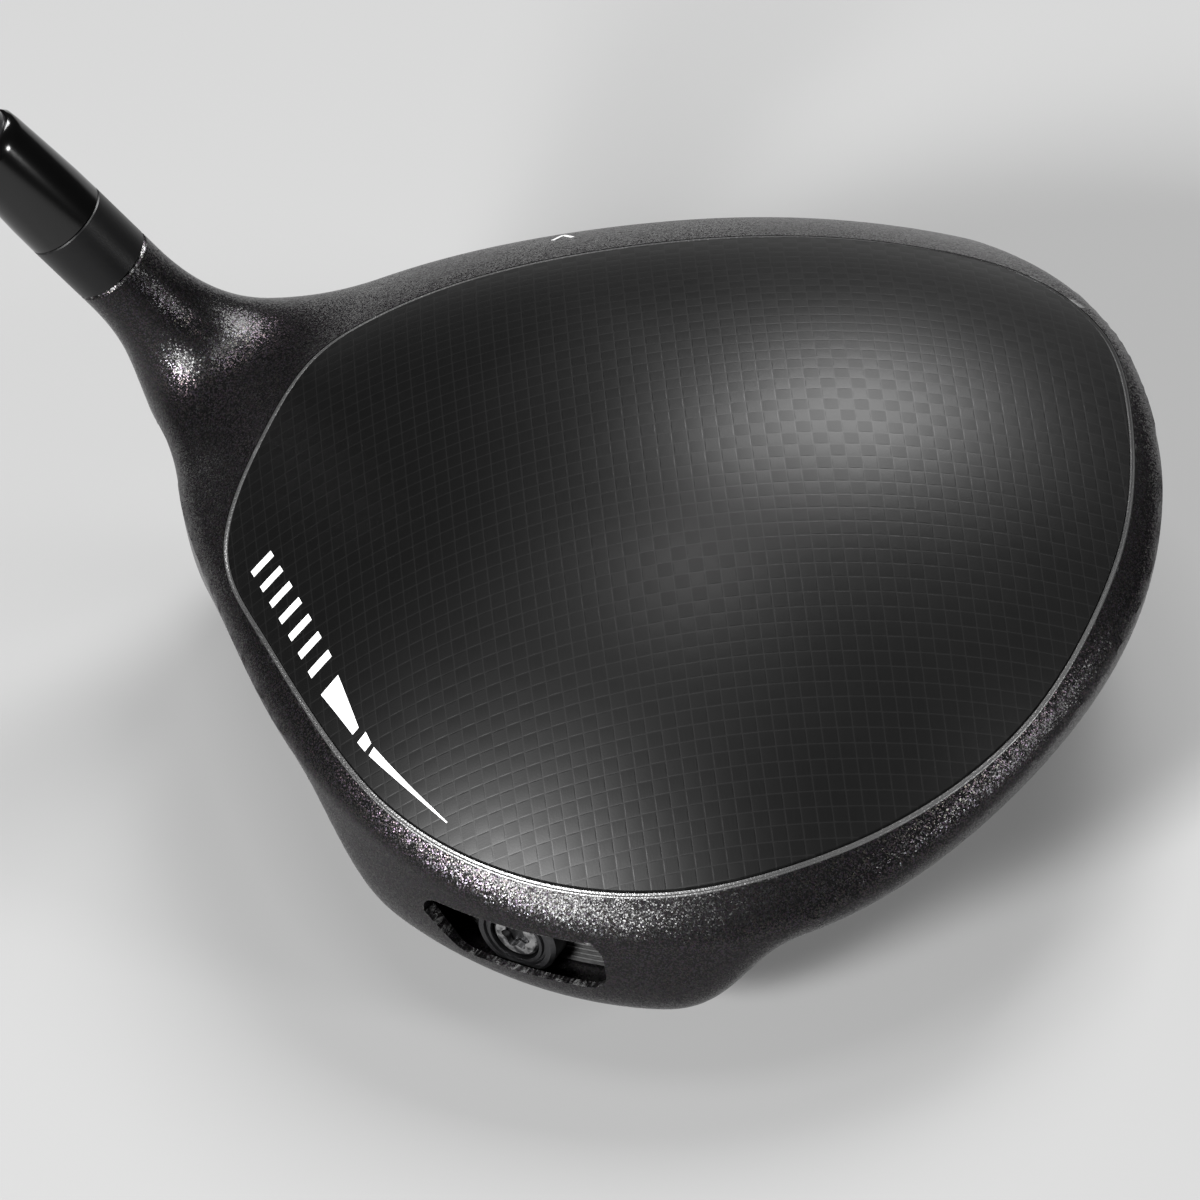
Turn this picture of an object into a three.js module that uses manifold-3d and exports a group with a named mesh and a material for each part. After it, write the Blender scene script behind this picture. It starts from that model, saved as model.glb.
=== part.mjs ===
// A right-handed golf driver with an adjustable hosel and a sliding rear weight, in millimetres.
//
// Frame: the club stands in its address position. The origin is the centre of the small flat on the
// sole, +Z is up, +Y is the target line (the face looks along it) and +X runs from heel to toe.
// Along the shaft, places are given as a distance s up the hosel axis from the height of AXIS_FOOT.
import * as THREE from 'three';
import { mergeVertices } from 'three/addons/utils/BufferGeometryUtils.js';
import Module from 'manifold-3d';

const wasm = await Module();
wasm.setup();

// ---------------------------------------------------------------- driving dimensions: the head
const DEG = Math.PI / 180;
const LIE = 59 * DEG;
const LOFT = 10.5 * DEG;
const BULGE_RADIUS = 305;
// radius of the rim about the origin and its height, every 30 degrees from the toe by way of the face
const RIM_RADII = [58.3, 59.8, 62.6, 66, 72.2, 74, 63.4, 61.4, 64.4, 66, 62.6, 60.4];
const RIM_HEIGHTS = [40.6, 39.6, 35, 31.5, 31.8, 34.5, 35.4, 32.3, 25.6, 22.8, 29.2, 36.4];
const CROWN_APEX = 58.3;
const CROWN_FULLNESS = [2.13, 1.05];
const FACE_CENTRE = [-4.5, 54.6, 30];
const FACE_EDGE_BLEND = 5;
// how full the underside is: open below the skirt, boxy behind the leading edge and on the rear pod
const SKIRT_FULLNESS = [1.5, 1.5];
const FRONT = { fullness: [6, 4], direction: 90 * DEG, halfWidth: 70 * DEG, flank: 40 * DEG };
const POD = { fullness: [3.5, 2.6], direction: 244 * DEG, halfWidth: 25 * DEG, flank: 9 * DEG };
const SOLE_FLAT_DEPTH = 0.9;
const WALL = 1.9;
const FACE_THICKNESS = 3;
const FIT = 0.3;

// the crown insert's edge in plan, from the heel corner round by the face, toe and rear
const INSERT_EDGE = [
  [-60, -1], [-54, 14.5], [-46.5, 26], [-37.5, 30], [-19.5, 33.5], [5.5, 35], [29.5, 34], [44.5, 30.5],
  [53.5, 18.5], [55.5, -1], [51.5, -24], [38.5, -45.5], [19.5, -58], [-4.5, -62.5], [-25, -57.5],
  [-41.5, -45], [-55, -19],
];
const INSERT_THICKNESS = 0.75;
const RECESS_DEPTH = 1.05;
const WINDOW_DEPTH = 4.5;
const LEDGE = 5;
const BOND_LINE_WIDTH = 0.7;
const FACE_PLATE_EDGE = [
  [34, 28], [24, 37], [-2, 40], [-28, 37], [-41, 28], [-32, 15], [-4.5, 8.5], [22, 13],
];
const SCORELINES = 5;
const SCORELINE = [13, 0.9, 0.35];
const SCORELINE_PITCH = 4;
const SCORELINE_OFFSET = 20;
const SCORELINE_MIDDLE = 24.5;
const SOLE_PANEL_EDGES = {
  sole_panel_toe: [[13.5, -35], [9.5, -1], [15.5, 23], [31.5, 21], [41.5, 3], [37.5, -17], [26.5, -33]],
  sole_panel_heel: [
    [-18.5, -27], [-15.5, -1], [-18.5, 23], [-30.5, 21], [-42.5, 5], [-40.5, -11], [-30.5, -25],
  ],
};
const SOLE_PANEL_THICKNESS = 0.6;

// ---------------------------------------------------------------- driving dimensions: the weight
// the track bends round its own upright axis; depths are measured in from the pod's wall
const TRACK_AXIS = [1.3, -11.5];
const TRACK_RADIUS = 55;
const TRACK_DIRECTION = 238.2 * DEG;
const TRACK_HEIGHT = 18.5;
const SLOT_SHIFT = 0.4;
const SLOT_HALF_LENGTH = 12.4;
const SLOT_HALF_HEIGHT = 3.9;
const SLOT_CORNER = 2.6;
const SLOT_SLANT = 4.1;
const LIP_THICKNESS = 1.2;
const CHAMBER_HALF_LENGTH = 14.4;
const CHAMBER_HALF_HEIGHT = 5.9;
const CHAMBER_DEPTH = 10.8;
const HOUSING_WALL = 1.3;
const WEIGHT_RADIUS = 5.5;
const WEIGHT_DEPTHS = [1.7, 5.4];
const RAIL_DEPTHS = [5.7, 7.2];
const RAIL_SLOT_HALF_LENGTH = 10.8;
const NUT_DEPTHS = [7.7, 10.2];
const NUT_HALF_SIDES = [4.6, 3.6];
const COUNTERBORE_DEPTH = 4.2;
const SLIDER_SCREW_RADIUS = 1.9;
const SLIDER_HEAD_RADIUS = 3.1;

// ---------------------------------------------------------------- driving dimensions: the shaft
const AXIS_FOOT = [-57.7, 39.2, 30];
const HOSEL_RADIUS = 5.75;
const HOSEL_TOP = 29;
const FLARE_HEIGHT = 21;
const FLARE_RADIUS = 15.5;
const FLARE_POWER = 2.3;
const FLARE_BELLY = 15;
// above this height the face's flat moves forward, so the neck stays whole round its bore
const NECK_START = 5;
const NECK_CLEARANCE = 0.45;
const BOSS_RADIUS = 6.4;
const BOSS_FOOT = -22;
const RING_TOP = 38.2;
const SLEEVE_RADIUS = 4.95;
const SLEEVE_FOOT = -5.4;
const SPIGOT_RADIUS = 3.2;
const BORE_RADIUS = 5.15;
const SHOULDER = -6;
const RECESS_TOP = -8.8;
const RECESS_RADIUS = 4.3;
const SPLINES = 8;
const SPLINE_HEIGHT = 0.6;
const SEAT_TOP = -0.6;
const BOLT_RADIUS = 2.4;
const BOLT_HEAD_RADIUS = 3.8;
const BOLT_HEAD = [-13.4, -9.4];
const BOLT_TIP = 1.8;
const FERRULE_TOP = 54.8;
const FERRULE_TIP_RADIUS = 5.15;
const TIP_RADIUS = 4.25;
const BUTT_RADIUS = 7.6;
const SHAFT_WALL = 1.2;
const SHAFT_FOOT = 7;
const PLUG_LENGTH = 9;
const TAPER_END = 900;
const CLUB_END = 1121;
const GRIP_LENGTH = 272;
const GRIP_RADII = [9.2, 13.4];
const CAP_THICKNESS = 5;
const CAP_SPIGOT = 8;
const VENT_RADIUS = 1;
const TAPE_THICKNESS = 0.15;

// ---------------------------------------------------------------- surface of the head
const clamp = THREE.MathUtils.clamp;

// smooth curve through evenly spaced values round the head
function around(values, angle) {
  const n = values.length;
  let sum = 0;
  for (let k = 0; k < n; k++) {
    const x = angle - (2 * Math.PI * k) / n;
    const half = Math.tan(x / 2);
    const kernel = Math.abs(Math.sin(x / 2)) < 1e-6 ? 1 : Math.sin((n * x) / 2) / (n * half);
    sum += values[k] * kernel;
  }
  return sum;
}

// the lower of two values, rounded where they cross
function smoothMin(a, b, width) {
  const h = clamp(0.5 + (0.5 * (b - a)) / width, 0, 1);
  return b * (1 - h) + a * h - width * h * (1 - h);
}

function faceY(x, z, inset = 0) {
  const across = x - FACE_CENTRE[0];
  const rise = z - FACE_CENTRE[2];
  const curve = (across * across + rise * rise) / (2 * BULGE_RADIUS);
  return FACE_CENTRE[1] - inset - rise * Math.tan(LOFT) - curve;
}

// 1 inside a sector of the head, 0 outside it, with soft flanks
function sectorAmount({ direction, halfWidth, flank }, angle) {
  const away = Math.abs(Math.atan2(Math.sin(angle - direction), Math.cos(angle - direction)));
  return 1 - THREE.MathUtils.smootherstep(away, halfWidth - flank, halfWidth + flank);
}

function crownRise(angle, rho) {
  const [p, q] = CROWN_FULLNESS;
  const rim = around(RIM_HEIGHTS, angle);
  return rim + (CROWN_APEX - rim) * Math.max(0, 1 - rho ** p) ** (1 / q);
}

function soleExponents(angle) {
  let exponents = SKIRT_FULLNESS;
  for (const sector of [FRONT, POD]) {
    const amount = sectorAmount(sector, angle);
    exponents = exponents.map((value, k) => THREE.MathUtils.lerp(value, sector.fullness[k], amount));
  }
  return exponents;
}

function soleRise(angle, rho) {
  const [a, b] = soleExponents(angle);
  const drop = Math.max(0, 1 - rho ** b) ** (1 / a);
  const rim = around(RIM_HEIGHTS, angle);
  return Math.max(0, rim - (rim + SOLE_FLAT_DEPTH) * drop);
}

function polar(x, y) {
  const angle = Math.atan2(y, x);
  return [angle, Math.hypot(x, y) / around(RIM_RADII, angle)];
}

const crownHeight = (x, y) => crownRise(...polar(x, y));
const soleHeight = (x, y) => soleRise(...polar(x, y));

// ---------------------------------------------------------------- meshes from rings of points
// rows of equal length, closed round; a row of one point is a pole
function skin(rows) {
  const positions = [];
  const starts = [];
  for (const row of rows) {
    starts.push(positions.length / 3);
    for (const point of row) positions.push(...point);
  }
  const index = [];
  for (let r = 0; r + 1 < rows.length; r++) {
    const [low, high] = [rows[r], rows[r + 1]];
    const count = Math.max(low.length, high.length);
    for (let k = 0; k < count; k++) {
      const next = (k + 1) % count;
      const a = starts[r] + (low.length > 1 ? k : 0);
      const b = starts[r] + (low.length > 1 ? next : 0);
      const c = starts[r + 1] + (high.length > 1 ? next : 0);
      const d = starts[r + 1] + (high.length > 1 ? k : 0);
      if (a !== b) index.push(a, b, c);
      if (c !== d) index.push(a, c, d);
    }
  }
  const geometry = new THREE.BufferGeometry();
  geometry.setAttribute('position', new THREE.Float32BufferAttribute(positions, 3));
  geometry.setIndex(index);
  return geometry;
}

function merged(geometry) {
  const copy = geometry.clone();
  copy.deleteAttribute('normal');
  copy.deleteAttribute('uv');
  return mergeVertices(copy, 1e-4);
}

// makes a solid, turning the mesh the right way out where its rows ran the other way
function solid(geometry) {
  const clean = merged(geometry);
  const at = clean.attributes.position;
  const corner = (k) => new THREE.Vector3().fromBufferAttribute(at, clean.index.getX(k));
  let volume = 0;
  for (let k = 0; k < clean.index.count; k += 3) volume += corner(k).dot(corner(k + 1).cross(corner(k + 2)));
  if (volume < 0) clean.index.array.reverse();
  const mesh = new wasm.Mesh({
    numProp: 3,
    vertProperties: new Float32Array(clean.attributes.position.array),
    triVerts: new Uint32Array(clean.index.array),
  });
  return new wasm.Manifold(mesh);
}

function geometryOf(manifold) {
  const mesh = manifold.getMesh();
  const geometry = new THREE.BufferGeometry();
  geometry.setAttribute('position', new THREE.BufferAttribute(new Float32Array(mesh.vertProperties), 3));
  geometry.setIndex(new THREE.BufferAttribute(new Uint32Array(mesh.triVerts), 1));
  return geometry;
}

const ring = (count, point) => Array.from({ length: count }, (_, k) => point((2 * Math.PI * k) / count));

// ---------------------------------------------------------------- the head's outer and inner form
const ROUND = 60;
const CROWN_ROWS = 8;
const SOLE_ROWS = 8;

function headForm(inset) {
  const place = (angle, rho, z) => {
    const radius = (around(RIM_RADII, angle) - inset) * rho;
    const x = radius * Math.cos(angle);
    const y = radius * Math.sin(angle);
    const faceInset = inset > 0 ? FACE_THICKNESS + 0.4 : 0;
    return [x, smoothMin(y, faceY(x, z, faceInset), FACE_EDGE_BLEND), z];
  };
  const rows = [[[0, 0, inset]]];
  for (let r = 1; r < SOLE_ROWS; r++) {
    const rho = Math.sin((r / SOLE_ROWS) * Math.PI / 2);
    rows.push(ring(ROUND, (angle) => place(angle, rho, soleRise(angle, rho) + inset)));
  }
  rows.push(ring(ROUND, (angle) => place(angle, 1, around(RIM_HEIGHTS, angle))));
  for (let r = CROWN_ROWS - 1; r > 0; r--) {
    const rho = Math.sin((r / CROWN_ROWS) * Math.PI / 2);
    rows.push(ring(ROUND, (angle) => place(angle, rho, crownRise(angle, rho) - inset)));
  }
  rows.push([[0, 0, CROWN_APEX - inset]]);
  return skin(rows);
}

// a slab inside a closed edge that follows a surface, between two lifts off it
function slab(edgePoints, place, low, high, grow = 0, rows = 4, count = 48) {
  const curve = new THREE.CatmullRomCurve3(edgePoints.map(([u, v]) => new THREE.Vector3(u, v, 0)), true);
  const samples = curve.getSpacedPoints(count).slice(0, count);
  const centre = samples.reduce((sum, p) => sum.add(p), new THREE.Vector3()).divideScalar(count);
  const edge = samples.map((p) => {
    const out = p.clone().sub(centre);
    return out.multiplyScalar(1 + grow / out.length());
  });
  const at = (out, share, lift) => place(centre.x + out.x * share, centre.y + out.y * share, lift);
  const layers = [[place(centre.x, centre.y, low)]];
  for (let r = 1; r <= rows; r++) layers.push(edge.map((out) => at(out, r / rows, low)));
  for (let r = rows; r >= 1; r--) layers.push(edge.map((out) => at(out, r / rows, high)));
  layers.push([place(centre.x, centre.y, high)]);
  return skin(layers);
}

const onCrown = (x, y, lift) => [x, y, crownHeight(x, y) + lift];
const onSole = (x, y, lift) => [x, y, soleHeight(x, y) - lift];
const onFace = (x, z, lift) => [x, faceY(x, z) + lift, z];

// ---------------------------------------------------------------- turned parts on the hosel axis
const axisMatrix = new THREE.Matrix4().compose(
  new THREE.Vector3(...AXIS_FOOT),
  new THREE.Quaternion().setFromAxisAngle(new THREE.Vector3(0, 1, 0), LIE - Math.PI / 2),
  new THREE.Vector3(1, 1, 1),
);
const onAxis = (geometry) => geometry.applyMatrix4(axisMatrix);

// profile of [radius, height] pairs; a hollow part's profile closes on itself
function turned(profile, segments = 32) {
  const points = profile.map(([radius, height]) => new THREE.Vector2(radius, height));
  return new THREE.LatheGeometry(points, segments).rotateX(Math.PI / 2);
}

function rod(radius, low, high, segments = 32) {
  return turned([[0, low], [radius, low], [radius, high], [0, high]], segments);
}

function tube(inner, outer, low, high, segments = 32) {
  return turned([[inner, low], [outer, low], [outer, high], [inner, high], [inner, low]], segments);
}

function prism(points, low, high) {
  const shape = new THREE.Shape(points.map(([x, y]) => new THREE.Vector2(x, y)));
  const geometry = new THREE.ExtrudeGeometry(shape, { depth: high - low, bevelEnabled: false });
  return geometry.translate(0, 0, low);
}

// a prism with square teeth between two radii
function toothed(root, tip, teeth, low, high, share = 2) {
  const steps = teeth * 4;
  const points = Array.from({ length: steps }, (_, k) => {
    const radius = k % 4 < share ? tip : root;
    const angle = ((k - (share - 1) / 2) * 2 * Math.PI) / steps;
    return [radius * Math.cos(angle), radius * Math.sin(angle)];
  });
  return prism(points, low, high);
}

// the six-lobed socket of a screw
function socket(radius, low, high) {
  const lobes = 6;
  const steps = lobes * 6;
  const points = Array.from({ length: steps }, (_, k) => {
    const angle = (2 * Math.PI * k) / steps;
    const reach = radius * (0.88 + 0.12 * Math.cos(lobes * angle));
    return [reach * Math.cos(angle), reach * Math.sin(angle)];
  });
  return prism(points, low, high);
}

function hoselForm() {
  const steps = 9;
  const profile = [[0, BOSS_FOOT], [BOSS_RADIUS, BOSS_FOOT]];
  for (let k = 1; k < 6; k++) {
    const turn = (90 * DEG * k) / 6;
    const radius = BOSS_RADIUS + (FLARE_RADIUS - BOSS_RADIUS) * Math.sin(turn);
    profile.push([radius, -FLARE_BELLY * Math.cos(turn)]);
  }
  for (let k = 0; k <= steps; k++) {
    const fall = 1 - k / steps;
    const radius = HOSEL_RADIUS + (FLARE_RADIUS - HOSEL_RADIUS) * fall ** FLARE_POWER;
    profile.push([radius, (FLARE_HEIGHT * k) / steps]);
  }
  profile.push([HOSEL_RADIUS, HOSEL_TOP], [0, HOSEL_TOP]);
  const geometry = onAxis(turned(profile, 48));
  const position = geometry.attributes.position;
  for (let k = 0; k < position.count; k++) {
    const [x, y, z] = [position.getX(k), position.getY(k), position.getZ(k)];
    const along = (z - AXIS_FOOT[2]) * Math.sin(LIE) - (x - AXIS_FOOT[0]) * Math.cos(LIE);
    const clearance = NECK_CLEARANCE * Math.max(0, along - NECK_START);
    position.setY(k, smoothMin(y, faceY(x, z, -clearance), FACE_EDGE_BLEND));
  }
  return geometry;
}

// ---------------------------------------------------------------- track in the rear pod
const trackOut = new THREE.Vector3(Math.cos(TRACK_DIRECTION), Math.sin(TRACK_DIRECTION), 0);

// local +Z points out of the slot at the weight's rest place, +Y is up and +X runs to the toe side
const trackMatrix = new THREE.Matrix4().makeBasis(
  new THREE.Vector3(-trackOut.y, trackOut.x, 0),
  new THREE.Vector3(0, 0, 1),
  trackOut,
).setPosition(
  TRACK_AXIS[0] + trackOut.x * TRACK_RADIUS,
  TRACK_AXIS[1] + trackOut.y * TRACK_RADIUS,
  TRACK_HEIGHT,
);
const inTrack = (geometry) => geometry.applyMatrix4(trackMatrix);

// a round-cornered bar's outline; its heel end slants when its foot is drawn in
function barOutline(halfLength, halfHeight, corner, slant) {
  const outline = [];
  const steps = 5;
  const corners = [[1, 1, 0], [-1, 1, 90], [-1, -1, 180], [1, -1, 270]];
  for (const [right, up, start] of corners) {
    if (slant > 0 && right < 0 && up < 0) {
      const foot = slant - halfLength;
      outline.push([foot, 0.6 - halfHeight], [foot + 0.8, 0.1 - halfHeight], [foot + 1.7, -halfHeight]);
      continue;
    }
    for (let k = 0; k <= steps; k++) {
      const angle = (start + (90 * k) / steps) * DEG;
      const x = right * (halfLength - corner) + corner * Math.cos(angle);
      outline.push([x, up * (halfHeight - corner) + corner * Math.sin(angle)]);
    }
  }
  return outline;
}

// a round-cornered bar bent round the track's axis, between two depths
function bent(halfLength, halfHeight, shallow, deep, corner = SLOT_CORNER, slant = 0) {
  const layer = tube(TRACK_RADIUS - deep, TRACK_RADIUS - shallow, -halfHeight - 1, halfHeight + 1, 128);
  layer.translate(...TRACK_AXIS, TRACK_HEIGHT);
  const bar = prism(barOutline(halfLength, halfHeight, corner, slant), -deep - 4, 4 - shallow);
  inTrack(bar.translate(SLOT_SHIFT, 0, 0));
  return solid(layer).intersect(solid(bar));
}

// ---------------------------------------------------------------- the club's parts
const club = new THREE.Group();

function add(name, piece, colour, roughness, metalness = 0) {
  const material = new THREE.MeshStandardMaterial({ color: colour, roughness, metalness });
  const mesh = new THREE.Mesh(geometryOf(piece), material);
  mesh.name = name;
  club.add(mesh);
}

const BLACK_PAINT = [0x101113, 0.5, 0.2];
const CARBON = [0x16171a, 0.45, 0.1];
const STEEL = [0x8b8e92, 0.35, 1];
const DARK_STEEL = [0x2a2c30, 0.4, 1];

const headOutside = () => solid(headForm(0)).add(solid(hoselForm()));

// head body: a thin shell with the hosel, its boss and the weight's housing, open where panels sit
function headBody() {
  const outside = headOutside();
  const boss = solid(onAxis(rod(BOSS_RADIUS, -40, 12)));
  const housing = bent(
    CHAMBER_HALF_LENGTH + HOUSING_WALL,
    CHAMBER_HALF_HEIGHT + HOUSING_WALL,
    -1,
    CHAMBER_DEPTH + HOUSING_WALL,
  );
  const inside = solid(headForm(WALL)).subtract(boss).subtract(housing);
  const cuts = [
    solid(slab(INSERT_EDGE, onCrown, -RECESS_DEPTH, 4)),
    solid(slab(INSERT_EDGE, onCrown, -WINDOW_DEPTH, 4, -LEDGE)),
    solid(slab(FACE_PLATE_EDGE, onFace, -FACE_THICKNESS - 3, 4, FIT, 3, 32)),
    bent(SLOT_HALF_LENGTH, SLOT_HALF_HEIGHT, -4, LIP_THICKNESS + 1, SLOT_CORNER, SLOT_SLANT),
    bent(CHAMBER_HALF_LENGTH, CHAMBER_HALF_HEIGHT, LIP_THICKNESS, CHAMBER_DEPTH),
    solid(onAxis(rod(BORE_RADIUS, SHOULDER, HOSEL_TOP + 5))),
    solid(onAxis(rod(BOLT_RADIUS + FIT, RECESS_TOP - 1, SHOULDER + 1))),
    solid(onAxis(rod(RECESS_RADIUS, -60, RECESS_TOP))),
  ];
  for (const edge of Object.values(SOLE_PANEL_EDGES)) {
    cuts.push(solid(slab(edge, onSole, -RECESS_DEPTH, 4, 0, 3, 28)));
    cuts.push(solid(slab(edge, onSole, -WINDOW_DEPTH, 4, -LEDGE, 3, 28)));
  }
  return cuts.reduce((body, cut) => body.subtract(cut), outside.subtract(inside));
}
add('head_body', headBody(), ...BLACK_PAINT);

// face plate with two groups of scorelines
function facePlate() {
  let plate = headOutside().intersect(solid(slab(FACE_PLATE_EDGE, onFace, -FACE_THICKNESS, 4, 0, 3, 32)));
  const [width, height, depth] = SCORELINE;
  for (const side of [-1, 1]) {
    for (let k = 0; k < SCORELINES; k++) {
      const z = SCORELINE_MIDDLE + (k - (SCORELINES - 1) / 2) * SCORELINE_PITCH;
      const x = FACE_CENTRE[0] + side * SCORELINE_OFFSET;
      const groove = new THREE.BoxGeometry(width, 2 * depth, height);
      plate = plate.subtract(solid(groove.translate(x, faceY(x, z), z)));
    }
  }
  return plate;
}
add('face_plate', facePlate(), 0x1c1d20, 0.45, 0.8);

const insert = slab(INSERT_EDGE, onCrown, -INSERT_THICKNESS - 0.1, -0.1, -BOND_LINE_WIDTH - 0.05);
add('crown_insert', solid(insert), ...CARBON);

const bondOutside = solid(slab(INSERT_EDGE, onCrown, -INSERT_THICKNESS - 0.1, -0.05, -0.05));
const bondInside = solid(slab(INSERT_EDGE, onCrown, -3, 3, -BOND_LINE_WIDTH + 0.05));
add('crown_bond_line', bondOutside.subtract(bondInside), 0xb8bcc2, 0.3, 0.6);

for (const [name, edge] of Object.entries(SOLE_PANEL_EDGES)) {
  add(name, solid(slab(edge, onSole, -SOLE_PANEL_THICKNESS - 0.1, -0.1, -FIT, 3, 28)), ...CARBON);
}

// ---------------------------------------------------------------- sliding weight
const rail = bent(CHAMBER_HALF_LENGTH - FIT, CHAMBER_HALF_HEIGHT - FIT, ...RAIL_DEPTHS);
const railSlot = bent(RAIL_SLOT_HALF_LENGTH, SLIDER_SCREW_RADIUS + FIT, 5, 9, SLIDER_SCREW_RADIUS);
add('track_rail', rail.subtract(railSlot), 0x1a1b1d, 0.6);

function sliderWeight() {
  const [front, back] = WEIGHT_DEPTHS;
  const hole = SLIDER_SCREW_RADIUS + FIT;
  const head = SLIDER_HEAD_RADIUS + FIT;
  const chamfer = 0.5;
  return turned([
    [hole, -back], [WEIGHT_RADIUS, -back], [WEIGHT_RADIUS, -front - chamfer],
    [WEIGHT_RADIUS - chamfer, -front], [head, -front], [head, -COUNTERBORE_DEPTH],
    [hole, -COUNTERBORE_DEPTH], [hole, -back],
  ], 40);
}
add('slider_weight', solid(inTrack(sliderWeight())), ...DARK_STEEL);

const nutBlock = solid(inTrack(prism(barOutline(...NUT_HALF_SIDES, 1), -NUT_DEPTHS[1], -NUT_DEPTHS[0])));
const nutHole = solid(inTrack(rod(SLIDER_SCREW_RADIUS + 0.15, -20, 0, 24)));
add('slider_nut', nutBlock.subtract(nutHole), ...STEEL);

const sliderHead = rod(SLIDER_HEAD_RADIUS, -COUNTERBORE_DEPTH + 0.6, -WEIGHT_DEPTHS[0] - 0.2);
const sliderShank = rod(SLIDER_SCREW_RADIUS, -NUT_DEPTHS[1] + 0.1, -COUNTERBORE_DEPTH + 1, 24);
const sliderSocket = solid(inTrack(socket(2, -COUNTERBORE_DEPTH + 1.2, 0)));
const sliderScrew = solid(inTrack(sliderHead)).add(solid(inTrack(sliderShank))).subtract(sliderSocket);
add('slider_screw', sliderScrew, ...DARK_STEEL);

const washerFloor = -COUNTERBORE_DEPTH + 0.1;
const sliderWasher = tube(SLIDER_SCREW_RADIUS + 0.2, SLIDER_HEAD_RADIUS, washerFloor, washerFloor + 0.4);
add('slider_washer', solid(inTrack(sliderWasher)), ...STEEL);

// ---------------------------------------------------------------- adjustable hosel
const seatBlank = solid(onAxis(rod(BORE_RADIUS - 0.15, SHOULDER + 0.1, SEAT_TOP)));
const seatTip = SPIGOT_RADIUS + SPLINE_HEIGHT + 0.25;
const seatSplines = toothed(SPIGOT_RADIUS + 0.2, seatTip, SPLINES, SHOULDER - 1, 1, 3);
add('hosel_seat', seatBlank.subtract(solid(onAxis(seatSplines))), ...STEEL);

function adapterSleeve() {
  const bore = TIP_RADIUS + 0.15;
  const tip = SPIGOT_RADIUS + SPLINE_HEIGHT;
  const spigot = solid(onAxis(toothed(SPIGOT_RADIUS, tip, SPLINES, SLEEVE_FOOT, 0.5, 1)));
  const sleeve = solid(onAxis(turned([
    [0, 0], [SLEEVE_RADIUS, 0], [SLEEVE_RADIUS, HOSEL_TOP + 0.15], [HOSEL_RADIUS, HOSEL_TOP + 0.15],
    [HOSEL_RADIUS, RING_TOP], [0, RING_TOP],
  ])));
  const shaftBore = solid(onAxis(rod(bore, SHAFT_FOOT - 0.7, RING_TOP + 3)));
  const thread = solid(onAxis(rod(BOLT_RADIUS + 0.15, SLEEVE_FOOT - 3, BOLT_TIP + 1.2)));
  return sleeve.add(spigot).subtract(shaftBore).subtract(thread);
}
add('adapter_sleeve', adapterSleeve(), 0x141517, 0.5, 0.3);

function adapterBolt() {
  const head = solid(onAxis(rod(BOLT_HEAD_RADIUS, ...BOLT_HEAD)));
  const shank = solid(onAxis(rod(BOLT_RADIUS, BOLT_HEAD[1] - 1, BOLT_TIP, 24)));
  return head.add(shank).subtract(solid(onAxis(socket(2.3, BOLT_HEAD[0] - 2, BOLT_HEAD[0] + 2.6))));
}
add('adapter_bolt', adapterBolt(), ...STEEL);
const boltWasher = tube(BOLT_RADIUS + 0.2, RECESS_RADIUS - 0.2, BOLT_HEAD[1] + 0.1, RECESS_TOP - 0.1);
add('bolt_washer', solid(onAxis(boltWasher)), ...STEEL);
const retainer = tube(BOLT_HEAD_RADIUS - 1, RECESS_RADIUS - 0.1, BOLT_HEAD[0] - 1.3, BOLT_HEAD[0] - 0.3);
add('bolt_retainer', solid(onAxis(retainer)), 0x2b2b2b, 0.6);

// ---------------------------------------------------------------- ferrule, shaft and grip
function shaftRadius(s) {
  const share = (s - FERRULE_TOP) / (TAPER_END - FERRULE_TOP);
  return THREE.MathUtils.lerp(TIP_RADIUS, BUTT_RADIUS, clamp(share, 0, 1));
}

function ferrule() {
  const bore = TIP_RADIUS + 0.15;
  const foot = RING_TOP + 0.1;
  return turned([
    [bore, foot], [HOSEL_RADIUS, foot], [HOSEL_RADIUS - 0.05, foot + 4],
    [FERRULE_TIP_RADIUS, FERRULE_TOP - 0.5], [FERRULE_TIP_RADIUS - 0.4, FERRULE_TOP],
    [bore, FERRULE_TOP], [bore, foot],
  ]);
}
add('ferrule', solid(onAxis(ferrule())), 0x08080a, 0.1);

const gripFoot = CLUB_END - GRIP_LENGTH;
const gripTop = CLUB_END - CAP_THICKNESS;
const shaftTop = gripTop - 0.3;
const stations = [SHAFT_FOOT, FERRULE_TOP, 300, 600, gripFoot, TAPER_END, shaftTop];
const shaftProfile = [
  ...stations.map((s) => [shaftRadius(s), s]),
  ...stations.map((s) => [shaftRadius(s) - SHAFT_WALL, s]).reverse(),
  [shaftRadius(SHAFT_FOOT), SHAFT_FOOT],
];
add('shaft', solid(onAxis(turned(shaftProfile, 24))), 0x18191c, 0.3, 0.3);
const tipPlug = rod(TIP_RADIUS - SHAFT_WALL - 0.1, SHAFT_FOOT + 0.2, SHAFT_FOOT + PLUG_LENGTH, 24);
add('shaft_tip_plug', solid(onAxis(tipPlug)), 0x6b5a40, 0.7);

// a tube whose walls keep their distance from the shaft
function sheath(low, high, innerGap, outer) {
  const steps = [low, TAPER_END, high];
  const profile = [
    ...steps.map((s) => [outer(s), s]),
    ...steps.map((s) => [shaftRadius(s) + innerGap, s]).reverse(),
    [outer(low), low],
  ];
  return solid(onAxis(turned(profile, 24)));
}
const gripRadius = (s) => THREE.MathUtils.lerp(...GRIP_RADII, (s - gripFoot) / GRIP_LENGTH);
const tapeRadius = (s) => shaftRadius(s) + 0.1 + TAPE_THICKNESS;
add('grip_tape', sheath(gripFoot + 2, shaftTop, 0.1, tapeRadius), 0xc9b98a, 0.8);
add('grip', sheath(gripFoot, gripTop - 0.1, 0.2 + TAPE_THICKNESS, gripRadius), 0x151515, 0.85);

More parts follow.
